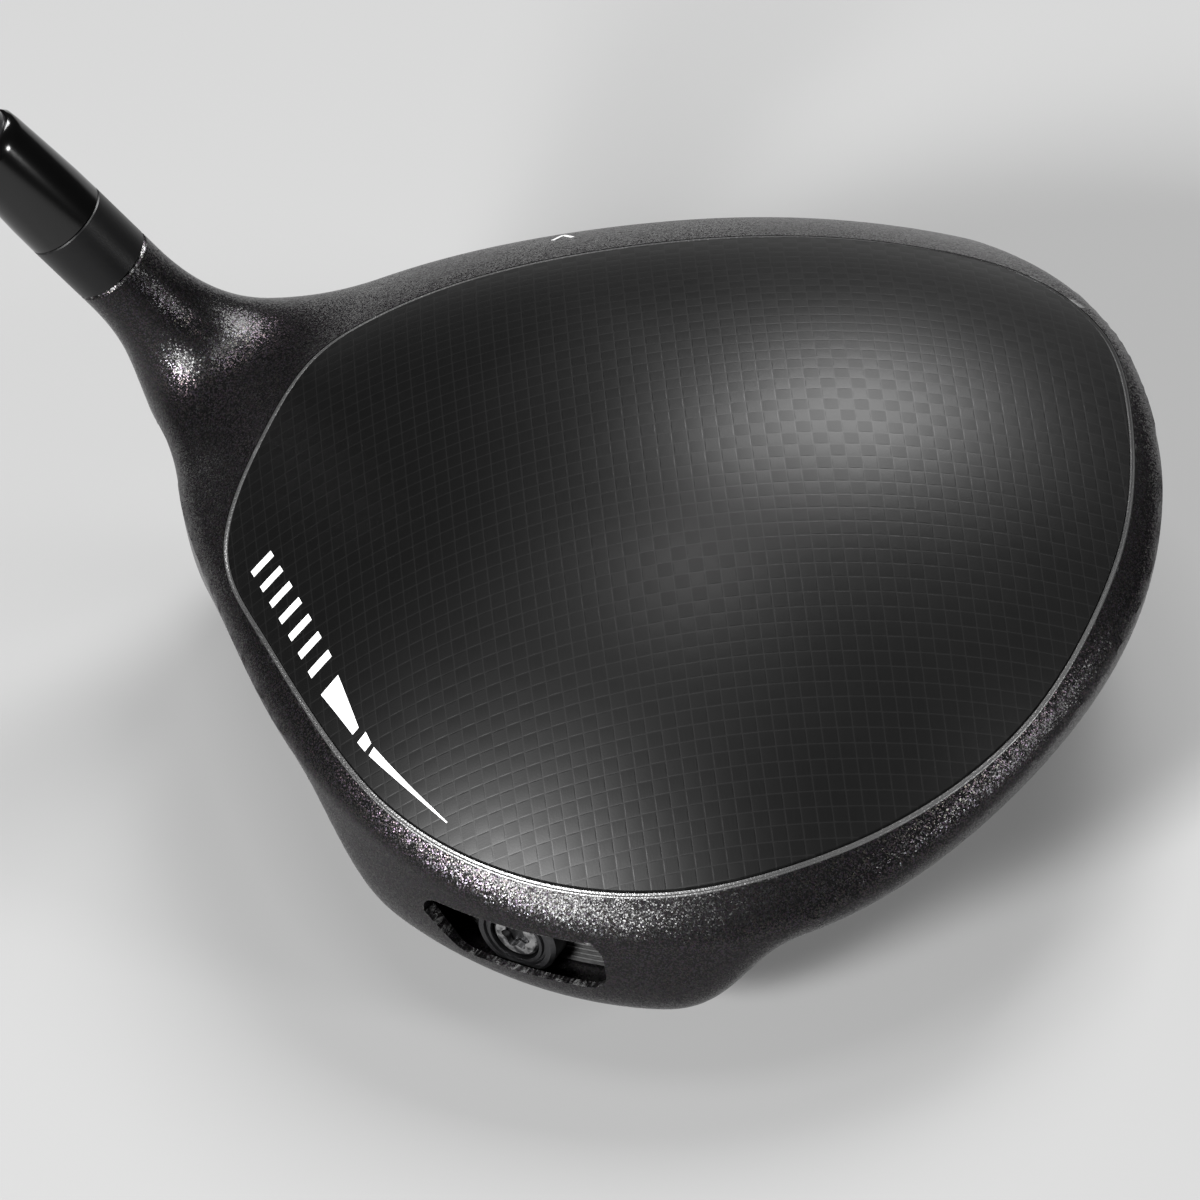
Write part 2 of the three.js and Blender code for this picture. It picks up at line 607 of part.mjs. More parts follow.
const capRadius = GRIP_RADII[1] + 0.2;
const cap = turned([
  [VENT_RADIUS, gripTop - CAP_SPIGOT], [BUTT_RADIUS - SHAFT_WALL - 0.3, gripTop - CAP_SPIGOT],
  [BUTT_RADIUS - SHAFT_WALL - 0.3, gripTop], [capRadius, gripTop], [capRadius, CLUB_END - 1.5],
  [capRadius - 1.5, CLUB_END], [VENT_RADIUS, CLUB_END], [VENT_RADIUS, gripTop - CAP_SPIGOT],
], 32);
add('grip_cap', solid(onAxis(cap)), 0x121212, 0.8);

export default club;
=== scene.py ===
# %% [markdown]
# # A golf driver with a carbon crown
#
# The club is a hollow black head, a carbon skin let into its crown, a sliding weight at the rear, an
# adjustable hosel, and a long shaft with a rubber grip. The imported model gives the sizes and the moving
# bodies. This lesson makes the fine surfaces over it: a head grown from a formula, turned parts for
# everything round, and patterns made of nodes for the finishes.

# %% The fixed frame
import math

import bpy
import numpy as np
import openvdb
from mathutils import Matrix, Vector


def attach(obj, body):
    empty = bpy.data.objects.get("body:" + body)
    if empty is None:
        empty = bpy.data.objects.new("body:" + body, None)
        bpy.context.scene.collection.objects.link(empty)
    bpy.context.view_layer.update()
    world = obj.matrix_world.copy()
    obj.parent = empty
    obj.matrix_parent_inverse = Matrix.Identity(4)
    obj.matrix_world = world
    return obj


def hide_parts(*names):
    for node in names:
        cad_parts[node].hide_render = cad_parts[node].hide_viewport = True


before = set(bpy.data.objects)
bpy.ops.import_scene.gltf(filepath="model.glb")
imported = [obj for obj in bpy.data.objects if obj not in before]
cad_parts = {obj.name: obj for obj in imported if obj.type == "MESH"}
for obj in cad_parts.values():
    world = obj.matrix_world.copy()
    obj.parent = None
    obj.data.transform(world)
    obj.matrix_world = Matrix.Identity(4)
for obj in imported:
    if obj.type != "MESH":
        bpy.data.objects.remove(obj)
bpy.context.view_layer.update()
MM = 0.001

# %% [markdown]
# ## The camera
#
# A product camera for a club head stands behind and above it with a long lens, so the crown fills the
# frame and the lines stay nearly parallel. It is placed by its heading, its depression and its roll about
# the line of sight, because those are the values a camera operator would change one at a time.

# %% Camera
CAMERA_TARGET = Vector((-13.3, -9.2, 30.0)) * MM
CAMERA_HEADING = math.radians(-3.1)
CAMERA_DEPRESSION = math.radians(40.12)
CAMERA_ROLL = math.radians(-8.18)
CAMERA_DISTANCE = 0.7293
CAMERA_LENS = 173.9

look = Vector((math.sin(CAMERA_HEADING), math.cos(CAMERA_HEADING), 0.0)) * math.cos(CAMERA_DEPRESSION)
look.z = -math.sin(CAMERA_DEPRESSION)
level = look.cross(Vector((0, 0, 1))).normalized()
raised = level.cross(look)
right = level * math.cos(CAMERA_ROLL) + raised * math.sin(CAMERA_ROLL)
camera = bpy.data.objects.new("camera", bpy.data.cameras.new("camera"))
camera.data.lens = CAMERA_LENS
camera.data.clip_end = 20
camera.matrix_world = Matrix((right, right.cross(look), -look)).transposed().to_4x4()
camera.matrix_world.translation = CAMERA_TARGET - look * CAMERA_DISTANCE
bpy.context.scene.collection.objects.link(camera)
bpy.context.scene.camera = camera
print("camera at", [round(v, 3) for v in camera.matrix_world.translation])

# %% [markdown]
# ## The studio
#
# Black satin paint shows nothing but its lights, so the lights draw the shape. A large softbox in front
# and above rolls over the crown, a weak one overhead fills it, one behind the heel draws the rear rim, and
# a small one on the toe side picks out the hosel. The floor glows a little, so that it stays pale though
# the paint has a dark room to reflect.

# %% Lights, floor and world
STUDIO_CENTRE = Vector((0.0, 0.0, 35.0)) * MM


def softbox(name, heading, elevation, distance, width, height, power):
    """An area light that faces the head from a heading (0 is +Y, 90 is +X) and an elevation, in degrees."""
    turn, rise = math.radians(heading), math.radians(elevation)
    away = Vector((math.sin(turn) * math.cos(rise), math.cos(turn) * math.cos(rise), math.sin(rise)))
    lamp = bpy.data.lights.new(name, "AREA")
    lamp.shape = "RECTANGLE"
    lamp.size, lamp.size_y, lamp.energy = width, height, power
    box = bpy.data.objects.new(name, lamp)
    box.matrix_world = away.to_track_quat("Z", "Y").to_matrix().to_4x4()
    box.matrix_world.translation = STUDIO_CENTRE + away * distance
    bpy.context.scene.collection.objects.link(box)
    return box


LIGHTS = {
    # heading, elevation, distance, width, height, power
    "crown_softbox": (26, 52, 1.6, 0.60, 0.90, 36),
    "overhead_softbox": (-110, 86, 1.6, 0.45, 0.45, 8),
    "rear_softbox": (-138, 27, 1.4, 0.36, 0.26, 50),
    "toe_softbox": (122, 22, 1.2, 0.20, 0.20, 6),
}
for light_name, values in LIGHTS.items():
    softbox(light_name, *values)

world = bpy.data.worlds.new("studio")
bpy.context.scene.world = world
world.use_nodes = True
sky = world.node_tree.nodes["Background"].inputs
sky["Color"].default_value = (0.9, 0.9, 0.9, 1)
sky["Strength"].default_value = 0.035
bpy.context.scene.view_settings.view_transform = "Standard"

FLOOR_SIZE = 8.0
floor_mesh = bpy.data.meshes.new("floor")
half = FLOOR_SIZE / 2
floor_corners = [(-half, -half, 0), (half, -half, 0), (half, half, 0), (-half, half, 0)]
floor_mesh.from_pydata(floor_corners, [], [(0, 1, 2, 3)])
floor = bpy.data.objects.new("floor", floor_mesh)
bpy.context.scene.collection.objects.link(floor)
floor_paper = bpy.data.materials.new("floor_paper")
floor_paper.use_nodes = True
paper = floor_paper.node_tree.nodes["Principled BSDF"].inputs
paper["Base Color"].default_value = (0.22, 0.22, 0.22, 1)
paper["Roughness"].default_value = 0.9
paper["Specular IOR Level"].default_value = 0.1
paper["Emission Color"].default_value = (1, 1, 1, 1)
paper["Emission Strength"].default_value = 0.12
floor_mesh.materials.append(floor_paper)
print(len(LIGHTS), "softboxes and a floor", FLOOR_SIZE, "m across")

# %% [markdown]
# ## Making meshes
#
# Every piece here ends as one closed mesh whose points are already in place. A few helpers do that: one
# makes the object from rows of points, one turns a profile about the hosel's axis, and one cuts or joins
# two solids. Lengths are in millimetres until the mesh is made.

# %% Helpers for closed meshes
SMOOTH_ANGLE = math.radians(32)


def skin(rows, wrapped=False):
    """Points and faces of rows of points, closed round; a row of one point is a pole."""
    starts = np.cumsum([0] + [len(row) for row in rows])
    pairs = [(r, r + 1) for r in range(len(rows) - 1)]
    if wrapped:
        pairs.append((len(rows) - 1, 0))
    faces = []
    for r, s in pairs:
        count = max(len(rows[r]), len(rows[s]))
        for k in range(count):
            a, b = [starts[r] + (j % count if len(rows[r]) > 1 else 0) for j in (k, k + 1)]
            d, c = [starts[s] + (j % count if len(rows[s]) > 1 else 0) for j in (k, k + 1)]
            face = [int(corner) for corner in dict.fromkeys((a, b, c, d))]
            faces.append(face)
    return np.concatenate([np.asarray(row, float).reshape(-1, 3) for row in rows]), faces


def tidy_mesh(mesh):
    """Turns a closed mesh the right way out and shades it smooth, apart from its real edges."""
    mesh.calc_loop_triangles()
    corners = np.array([v.co for v in mesh.vertices])[[t.vertices[:] for t in mesh.loop_triangles]]
    volume = np.einsum("ij,ij->i", corners[:, 0], np.cross(corners[:, 1], corners[:, 2])).sum()
    if volume < 0:
        mesh.flip_normals()
    mesh.shade_smooth()
    mesh.set_sharp_from_angle(angle=SMOOTH_ANGLE)


def piece(name, points, faces, material=None, lay=None):
    """An object made of closed parts; lay is an optional pattern coordinate for each point, in metres."""
    mesh = bpy.data.meshes.new(name)
    mesh.from_pydata((np.asarray(points) * MM).tolist(), [], faces)
    tidy_mesh(mesh)
    if lay is not None:
        uv = mesh.uv_layers.new(name="lay")
        corner_points = np.zeros(len(mesh.loops), int)
        mesh.loops.foreach_get("vertex_index", corner_points)
        uv.data.foreach_set("uv", lay[corner_points].ravel())
    if material:
        mesh.materials.append(material)
    made = bpy.data.objects.new(name, mesh)
    bpy.context.scene.collection.objects.link(made)
    return made


def joined(parts):
    """Points and faces of several closed parts as one."""
    points, faces, start = [], [], 0
    for part_points, part_faces in parts:
        points.append(part_points)
        faces += [[corner + start for corner in face] for face in part_faces]
        start += len(part_points)
    return np.concatenate(points), faces


def baked(made):
    """Turns an object's modifiers into its plain mesh."""
    graph = bpy.context.evaluated_depsgraph_get()
    mesh = bpy.data.meshes.new_from_object(made.evaluated_get(graph))
    made.modifiers.clear()
    old = made.data
    made.data = mesh
    bpy.data.meshes.remove(old)
    return made


def carve(target, *cutter, operation="DIFFERENCE"):
    """Cuts a closed part given as points and faces out of the target, or keeps what they share."""
    tool = piece("cutter", *cutter)
    cut = target.modifiers.new("cut", "BOOLEAN")
    cut.operation, cut.solver, cut.object = operation, "MANIFOLD", tool
    baked(target)
    bpy.data.objects.remove(tool)


def triangles(made):
    made.data.calc_loop_triangles()
    return len(made.data.loop_triangles)


# %% Places on the hosel's axis
LIE = math.radians(59)
AXIS_FOOT = np.array([-57.7, 39.2, 30.0])
AXIS = np.array([-math.cos(LIE), 0.0, math.sin(LIE)])
ACROSS = np.array([math.sin(LIE), 0.0, math.cos(LIE)])
FORWARD = np.array([0.0, 1.0, 0.0])
ROUND = 128


def on_axis(radius, angle, height):
    """Points round the hosel's axis, height millimetres up it from its foot."""
    out = np.multiply.outer(np.cos(angle), ACROSS) + np.multiply.outer(np.sin(angle), FORWARD)
    return AXIS_FOOT + height * AXIS + np.asarray(radius).reshape(-1, 1) * out


def turned(profile, wrapped=False, count=ROUND):
    """A turned solid from [radius, height] pairs; a wrapped profile closes on itself."""
    angle = np.linspace(0, 2 * math.pi, count, endpoint=False)
    rows = []
    for radius, height in profile:
        pole = AXIS_FOOT + height * AXIS
        rows.append(on_axis(radius * np.ones(count), angle, height) if radius > 0 else pole)
    return skin([np.atleast_2d(row) for row in rows], wrapped)


def rod(radius, low, high, count=ROUND):
    return turned([(0, low), (radius, low), (radius, high), (0, high)], count=count)


print("hosel axis", AXIS.round(4), "foot", AXIS_FOOT)

# %% [markdown]
# ## The head's form
#
# A head could be sculpted or modelled in patches, but the crown, the skirt and the sole follow rules: each
# is a bulge over a rim whose radius and height change round the head. Written as a field, a number that is
# about the distance to the surface, the bulges, the flat of the face and the hosel can be blended with
# soft joins, just as a pattern maker fills a corner. A volume grid then turns the field into a mesh, and
# each point is moved the last fraction of a millimetre on to the true surface.

# %% The rim and the bulges
LOFT = math.radians(10.5)
BULGE_RADIUS = 305
RIM_RADII = [58.3, 59.8, 62.6, 66, 72.2, 74, 63.4, 61.4, 64.4, 66, 62.6, 60.4]
RIM_HEIGHTS = [40.6, 39.6, 35, 31.5, 31.8, 34.5, 35.4, 32.3, 25.6, 22.8, 29.2, 36.4]
RIM_ROUNDING = 3.0
RIM_GROWTH = 0.8
CROWN_APEX = 58.3
CROWN_FULLNESS = (2.13, 1.05)
FACE_CENTRE = (-4.5, 54.6, 30)
FACE_EDGE_BLEND = 5
SKIRT_FULLNESS = (1.5, 1.5)
FRONT = {"fullness": (6, 4), "direction": 90, "half_width": 70, "flank": 40}
POD = {"fullness": (3.5, 2.6), "direction": 244, "half_width": 25, "flank": 9}
SOLE_FLAT_DEPTH = 0.9
HOSEL_RADIUS = 5.75
HOSEL_TOP = 29
HOSEL_BLEND = 18


def around(values, angle):
    """The smooth curve through values spaced evenly round the head."""
    count, total = len(values), 0.0
    for k, value in enumerate(values):
        x = angle - 2 * math.pi * k / count
        centred = np.abs(np.sin(x / 2)) < 1e-6
        slope = np.where(centred, 1.0, np.tan(x / 2))
        total = total + value * np.where(centred, 1.0, np.sin(count * x / 2) / (count * slope))
    return total


def smooth_min(a, b, width):
    h = np.clip(0.5 + 0.5 * (b - a) / width, 0, 1)
    return b * (1 - h) + a * h - width * h * (1 - h)


def smooth_max(a, b, width):
    return -smooth_min(-a, -b, width)


def face_y(x, z):
    across, rise = x - FACE_CENTRE[0], z - FACE_CENTRE[2]
    return FACE_CENTRE[1] - rise * math.tan(LOFT) - (across**2 + rise**2) / (2 * BULGE_RADIUS)


def sole_fullness(angle):
    """The two exponents of the underside, which is boxy at the front and on the rear pod."""
    values = [np.full_like(angle, v) for v in SKIRT_FULLNESS]
    for sector in (FRONT, POD):
        away = angle - math.radians(sector["direction"])
        away = np.degrees(np.abs(np.arctan2(np.sin(away), np.cos(away))))
        t = np.clip((away - sector["half_width"] + sector["flank"]) / (2 * sector["flank"]), 0, 1)
        amount = 1 - t**3 * (t * (6 * t - 15) + 10)
        values = [v + (full - v) * amount for v, full in zip(values, sector["fullness"])]
    return values


def bulge(rho, rise, radius, height, rho_power, rise_power):
    """About the distance to a bulge that meets its rim at rho 1 and its top at rise 1."""
    rise = np.maximum(rise, 0)
    value = rho**rho_power + rise**rise_power - 1
    across = rho_power * np.maximum(rho, 1e-3) ** (rho_power - 1) / radius
    upward = rise_power * np.maximum(rise, 1e-3) ** (rise_power - 1) / height * (rise > 0)
    return value / np.maximum(np.hypot(across, upward), 0.004)


def hosel_places(x, y, z):
    """How far up the hosel's axis points are, and how far from it."""
    dx, dy, dz = x - AXIS_FOOT[0], y - AXIS_FOOT[1], z - AXIS_FOOT[2]
    height = dx * AXIS[0] + dz * AXIS[2]
    return height, np.sqrt(np.maximum(dx**2 + dy**2 + dz**2 - height**2, 0))


def head_field(x, y, z):
    """Below 0 inside the solid head, above 0 outside it, in about millimetres from its surface."""
    angle = np.arctan2(y, x)
    rim = around(RIM_HEIGHTS, angle)
    radius = around(RIM_RADII, angle) + RIM_GROWTH
    rho = np.hypot(x, y) / radius
    top, bottom = CROWN_APEX - rim, rim + SOLE_FLAT_DEPTH
    rise_power, rho_power = sole_fullness(angle)
    crown = bulge(rho, (z - rim) / top, radius, top, *CROWN_FULLNESS)
    sole = bulge(rho, (rim - z) / bottom, radius, bottom, rho_power, rise_power)
    shell = smooth_max(crown, sole, RIM_ROUNDING)
    shell = smooth_max(shell, (y - face_y(x, z)) * math.cos(LOFT), FACE_EDGE_BLEND)
    height, away = hosel_places(x, y, z)
    hosel = np.maximum(away - HOSEL_RADIUS, np.maximum(height - HOSEL_TOP - 4, -4 - height))
    return smooth_max(smooth_min(shell, hosel, HOSEL_BLEND), -z, 1.0)


# %% From a field to a mesh
HEAD_LOW = np.array([-82.0, -70.0, -3.0])
HEAD_HIGH = np.array([64.0, 62.0, 66.0])
NUDGE = 0.05


def settle(field, points, passes=3):
    """Moves points along the field's slope on to the surface where it is 0."""
    for _ in range(passes):
        value = field(*points.T)
        slope = np.stack([(field(*(points + step).T) - value) / NUDGE for step in NUDGE * np.eye(3)], axis=1)
        length = np.maximum((slope**2).sum(axis=1), 0.05)
        points = points - np.clip(value / length, -0.6, 0.6)[:, None] * slope
    return points


def field_solid(field, low, high, step, settled=True):
    axes = [np.arange(low[k], high[k] + step, step) for k in range(3)]
    values = field(*np.meshgrid(*axes, indexing="ij", sparse=True))
    grid = openvdb.FloatGrid(3 * step)
    grid.copyFromArray(np.ascontiguousarray(np.clip(values, -3 * step, 3 * step), dtype=np.float32))
    points, quads = grid.convertToQuads(isovalue=0.0)
    points = np.asarray(low) + points.astype(float) * step
    if settled:
        points = settle(field, points)
    return points, quads.tolist()


HEAD_STEP = 1.05
head_skin = field_solid(head_field, HEAD_LOW, HEAD_HIGH, HEAD_STEP)
head_low, head_high = head_skin[0].min(0).round(1), head_skin[0].max(0).round(1)
print("head skin", len(head_skin[0]), "points, low", head_low, "high", head_high)


def crown_z(x, y):
    """Height of the crown over plan points, found by stepping down to the surface."""
    z = np.full_like(x, CROWN_APEX + 1)
    for _ in range(30):
        z = z - head_field(x, y, z)
    return z


def sole_z(x, y):
    z = np.full_like(x, -1.0)
    for _ in range(30):
        z = z + head_field(x, y, z)
    return z

# %% [markdown]
# ## Outlines that lie on the head
#
# The crown skin, the sole panels, the face plate and their pockets are all thin slabs inside a closed
# edge. One helper lays such a slab on any surface. The edge is a curve through a few chosen points, and
# the slab is filled with rings that shrink towards its middle, so it follows the surface closely.

# %% Slabs inside a closed edge
INSERT_EDGE = [
    (-60, -1), (-54, 14.5), (-46.5, 26), (-37.5, 30), (-19.5, 33.5), (5.5, 35), (29.5, 34), (44.5, 30.5),
    (53.5, 18.5), (55.5, -1), (51.5, -24), (38.5, -45.5), (19.5, -58), (-4.5, -62.5), (-25, -57.5),
    (-41.5, -45), (-55, -19),
]
FACE_PLATE_EDGE = [(34, 28), (24, 37), (-2, 40), (-28, 37), (-41, 28), (-32, 15), (-4.5, 8.5), (22, 13)]
SOLE_PANEL_EDGES = {
    "sole_panel_toe": [(13.5, -35), (9.5, -1), (15.5, 23), (31.5, 21), (41.5, 3), (37.5, -17), (26.5, -33)],
    "sole_panel_heel": [
        (-18.5, -27), (-15.5, -1), (-18.5, 23), (-30.5, 21), (-42.5, 5), (-40.5, -11), (-30.5, -25),
    ],
}


def smooth_loop(corners, count):
    """Evenly spaced points on the closed curve through the corners, looser where they are further apart."""
    corners = np.array(corners, float)
    curve = []
    for k in range(len(corners)):
        p0, p1, p2, p3 = corners[[(k + j) % len(corners) for j in (-1, 0, 1, 2)]]
        d0, d1, d2 = [math.sqrt(np.linalg.norm(b - a)) for a, b in ((p0, p1), (p1, p2), (p2, p3))]
        leave = ((p1 - p0) / d0 - (p2 - p0) / (d0 + d1) + (p2 - p1) / d1) * d1
        arrive = ((p2 - p1) / d1 - (p3 - p1) / (d1 + d2) + (p3 - p2) / d2) * d1
        t = np.linspace(0, 1, 40, endpoint=False)[:, None]
        a, b = 2 * p1 - 2 * p2 + leave + arrive, -3 * p1 + 3 * p2 - 2 * leave - arrive
        curve.append(p1 + t * (leave + t * (b + t * a)))
    curve = np.concatenate(curve + [corners[:1]])
    along = np.concatenate([[0], np.cumsum(np.linalg.norm(np.diff(curve, axis=0), axis=1))])
    wanted = np.linspace(0, along[-1], count, endpoint=False)
    return np.stack([np.interp(wanted, along, curve[:, j]) for j in range(2)], axis=1)


def on_crown(plan, lift):
    return np.column_stack([plan, crown_z(*plan.T) + lift])


def on_sole(plan, lift):
    return np.column_stack([plan, sole_z(*plan.T) - lift])


def on_face(plan, lift):
    x, z = plan.T
    return np.column_stack([x, face_y(x, z) + lift, z])


def slab(edge, place, low, high, grow=0.0, rows=30, count=288):
    """A slab between two lifts off a surface; grow moves its edge out. Returns points, faces and plan."""
    loop = smooth_loop(edge, count)
    middle = loop.mean(axis=0)
    out = loop - middle
    out = out * (1 + grow / np.linalg.norm(out, axis=1))[:, None]
    shares = [0.0] + [(r + 1) / rows for r in range(rows)]
    plans = [middle + out * share if share else middle[None] for share in shares]
    flat = np.concatenate(plans)
    cuts = np.cumsum([len(p) for p in plans])[:-1]
    lower, upper = np.split(place(flat, low), cuts), np.split(place(flat, high), cuts)
    points, faces = skin(lower + upper[::-1])
    return points, faces, np.concatenate(plans + plans[::-1])


# %% [markdown]
# ## The weight's slot
#
# The rear pod holds a slot that bends round an upright axis inside the head. Its parts are bars with round
# ends, bent to the same curve. A bar is lofted along its length: each station has an upper and a lower
# edge at the outer and the inner depth.

# %% Bars bent round the track's axis
TRACK_AXIS = np.array([1.3, -11.5])
TRACK_RADIUS = 55
TRACK_DIRECTION = math.radians(238.2)
TRACK_HEIGHT = 18.5
SLOT_SHIFT = 0.4
SLOT_HALF = (12.4, 3.9)
SLOT_CORNER = 2.6
SLOT_SLANT = 4.1
LIP_THICKNESS = 1.2
CHAMBER_HALF = (14.4, 5.9)
CHAMBER_DEPTH = 10.8
HOUSING_WALL = 1.3


def in_track(along, up, depth):
    """Points at a distance along the slot to the toe side, up, and in from the pod's wall."""
    radius = TRACK_RADIUS - depth
    turn = TRACK_DIRECTION + np.arcsin(along / radius)
    return np.stack([
        TRACK_AXIS[0] + radius * np.cos(turn),
        TRACK_AXIS[1] + radius * np.sin(turn),
        TRACK_HEIGHT + up + np.zeros_like(turn),
    ], axis=-1)


def bar_skin(rows):
    """A closed bar lofted through rows of four corners."""
    points = np.array(rows).reshape(-1, 3)
    last = len(points)
    faces = [[0, 1, 2, 3], [last - 1, last - 2, last - 3, last - 4]]
    for r in range(len(rows) - 1):
        for k in range(4):
            a, b = 4 * r + k, 4 * r + (k + 1) % 4
            faces.append([a, a + 4, b + 4, b])
    return points, faces


def bent_bar(half_length, half_height, shallow, deep, corner=SLOT_CORNER, slant=0.0, stations=44):
    """A bar bent round the track's axis between two depths; a slant draws in the foot of its heel end."""
    turn = np.linspace(0, math.pi / 2, 9)
    ends = half_length - corner + corner * np.sin(turn)
    places = np.concatenate([-ends, np.linspace(-half_length, half_length, stations), ends])
    places = np.unique(places.round(4))
    over = np.maximum(np.abs(places) - (half_length - corner), 0)
    high = half_height - corner + np.sqrt(np.maximum(corner**2 - over**2, 0))
    low = -high
    if slant:
        foot = slant - half_length
        slope_places = (-half_length, foot, foot + 0.8, foot + 1.7)
        slope_heights = (half_height - corner - 0.3, 0.6 - half_height, 0.1 - half_height, -half_height)
        low = np.maximum(low, np.interp(places, slope_places, slope_heights))
    rows = []
    for along, top, foot in zip(places + SLOT_SHIFT, high, low):
        section = ((top, shallow), (top, deep), (foot, deep), (foot, shallow))
        rows.append([in_track(along, up, depth) for up, depth in section])
    return bar_skin(rows)


# %% [markdown]
# ## The head body
#
# The real body is cast and welded, about 2 mm thick, with a boss for the hosel's bolt and a small box
# behind the slot. The same field gives the hollow inside: everything deeper than the wall, apart from the
# boss and the box. Then the pockets, the windows, the bores and the slot are cut, as a mill would do it.

# %% Cutting the head body
WALL = 1.9
RECESS_DEPTH = 1.05
WINDOW_DEPTH = 4.5
LEDGE = 5
FACE_THICKNESS = 3
FIT = 0.3
BOSS_RADIUS = 6.4
BORE_RADIUS = 5.15
SHOULDER = -6
RECESS_TOP = -8.8
RECESS_RADIUS = 4.3
BOLT_RADIUS = 2.4


def hollow_field(x, y, z):
    """Below 0 in the head's empty inside."""
    height, away = hosel_places(x, y, z)
    boss = np.maximum(away - BOSS_RADIUS, height - 12)
    dx, dy = x - TRACK_AXIS[0], y - TRACK_AXIS[1]
    turn = np.arctan2(dy, dx) - TRACK_DIRECTION
    along = np.arctan2(np.sin(turn), np.cos(turn)) * TRACK_RADIUS - SLOT_SHIFT
    depth = TRACK_RADIUS - np.hypot(dx, dy)
    box = np.maximum(np.abs(along) - CHAMBER_HALF[0] - HOUSING_WALL, depth - CHAMBER_DEPTH - HOUSING_WALL)
    box = np.maximum(box, np.abs(z - TRACK_HEIGHT) - CHAMBER_HALF[1] - HOUSING_WALL)
    return np.maximum(head_field(x, y, z) + WALL, np.maximum(-boss, -box))


driver_head = piece("driver_head", *head_skin)
carve(driver_head, *field_solid(hollow_field, HEAD_LOW, HEAD_HIGH, 2.0, settled=False))
carve(driver_head, *slab(INSERT_EDGE, on_crown, -RECESS_DEPTH, 4, rows=24)[:2])
carve(driver_head, *slab(INSERT_EDGE, on_crown, -WINDOW_DEPTH, 4, -LEDGE, rows=10, count=120)[:2])
for panel_edge in SOLE_PANEL_EDGES.values():
    carve(driver_head, *slab(panel_edge, on_sole, -RECESS_DEPTH, 4, rows=12, count=160)[:2])
    carve(driver_head, *slab(panel_edge, on_sole, -WINDOW_DEPTH, 4, -LEDGE, rows=6, count=60)[:2])
carve(driver_head, *slab(FACE_PLATE_EDGE, on_face, -FACE_THICKNESS - 3, 6, FIT, rows=12, count=200)[:2])
carve(driver_head, *bent_bar(*SLOT_HALF, -5, LIP_THICKNESS + 1, slant=SLOT_SLANT))
carve(driver_head, *bent_bar(*CHAMBER_HALF, LIP_THICKNESS, CHAMBER_DEPTH))
EDGE_BREAK = 0.35
carve(driver_head, *turned([
    (0, HOSEL_TOP), (HOSEL_RADIUS - EDGE_BREAK, HOSEL_TOP), (HOSEL_RADIUS + 1, HOSEL_TOP - 1 - EDGE_BREAK),
    (HOSEL_RADIUS + 6, HOSEL_TOP - 1), (HOSEL_RADIUS + 6, HOSEL_TOP + 12), (0, HOSEL_TOP + 12),
]))
carve(driver_head, *rod(BORE_RADIUS, SHOULDER, HOSEL_TOP + 5))
carve(driver_head, *rod(BOLT_RADIUS + FIT, RECESS_TOP - 1, SHOULDER + 1))
carve(driver_head, *rod(RECESS_RADIUS, -60, RECESS_TOP))
tidy_mesh(driver_head.data)
print("head body", triangles(driver_head), "triangles")

# %% [markdown]
# ## Shader groups that several finishes share
#
# Satin paint, carbon, steel and rubber all differ in a few small effects. Each effect is a node group
# built once: a fine grain, a metallic flake, a plain weave, a brushed grain and the wear along edges. A
# group gives back only masks, heights, tints or normals, and each material mixes them in its own way.

# %% A small kit for node trees
def new_group(name, inputs, outputs):
    """A shader group with named sockets, given as (name, kind, default)."""
    tree = bpy.data.node_groups.new(name, "ShaderNodeTree")
    for socket_name, kind, default in inputs:
        socket = tree.interface.new_socket(socket_name, in_out="INPUT", socket_type="NodeSocket" + kind)
        if default is not None:
            socket.default_value = default
    for socket_name, kind in outputs:
        tree.interface.new_socket(socket_name, in_out="OUTPUT", socket_type="NodeSocket" + kind)
    return tree, tree.nodes.new("NodeGroupInput"), tree.nodes.new("NodeGroupOutput")


def node(tree, kind, settings=None, **links):
    """A node with its settings, and its inputs linked or set by name; a _1 ending means the second input."""
    made = tree.nodes.new(kind)
    for key, value in (settings or {}).items():
        setattr(made, key, value)
    for key, value in links.items():
        wanted = key.replace("_", " ")
        sockets = [s for s in made.inputs if s.name == wanted and s.enabled]
        if not sockets:
            sockets = [made.inputs[int(key[1:])]]
        if isinstance(value, bpy.types.NodeSocket):
            tree.links.new(value, sockets[0])
        else:
            sockets[0].default_value = value
    return made


def math_node(tree, operation, a, b=0.0):
    return node(tree, "ShaderNodeMath", {"operation": operation}, i0=a, i1=b).outputs[0]


def vector_math(tree, operation, a, b):
    return node(tree, "ShaderNodeVectorMath", {"operation": operation}, i0=a, i1=b).outputs[0]


def vector_scale(tree, vector, scale):
    return node(tree, "ShaderNodeVectorMath", {"operation": "SCALE"}, i0=vector, i3=scale).outputs[0]


def noise(tree, place, scale, detail):
    return node(tree, "ShaderNodeTexNoise", Vector=place, Scale=scale, Detail=detail).outputs["Fac"]


def mix_values(tree, share, a, b):
    return node(tree, "ShaderNodeMix", {"data_type": "FLOAT"}, Factor=share, A=a, B=b).outputs[0]


def mix_colours(tree, share, a, b):
    made = node(tree, "ShaderNodeMix", {"data_type": "RGBA"})
    for socket, value in ((made.inputs[0], share), (made.inputs[6], a), (made.inputs[7], b)):
        if isinstance(value, bpy.types.NodeSocket):
            tree.links.new(value, socket)
        else:
            socket.default_value = value
    return made.outputs[2]


def ramp(tree, value, low, high):
    """0 below low, 1 above high, and smooth between them."""
    settings = {"interpolation_type": "SMOOTHSTEP"}
    return node(tree, "ShaderNodeMapRange", settings, Value=value, From_Min=low, From_Max=high).outputs[0]


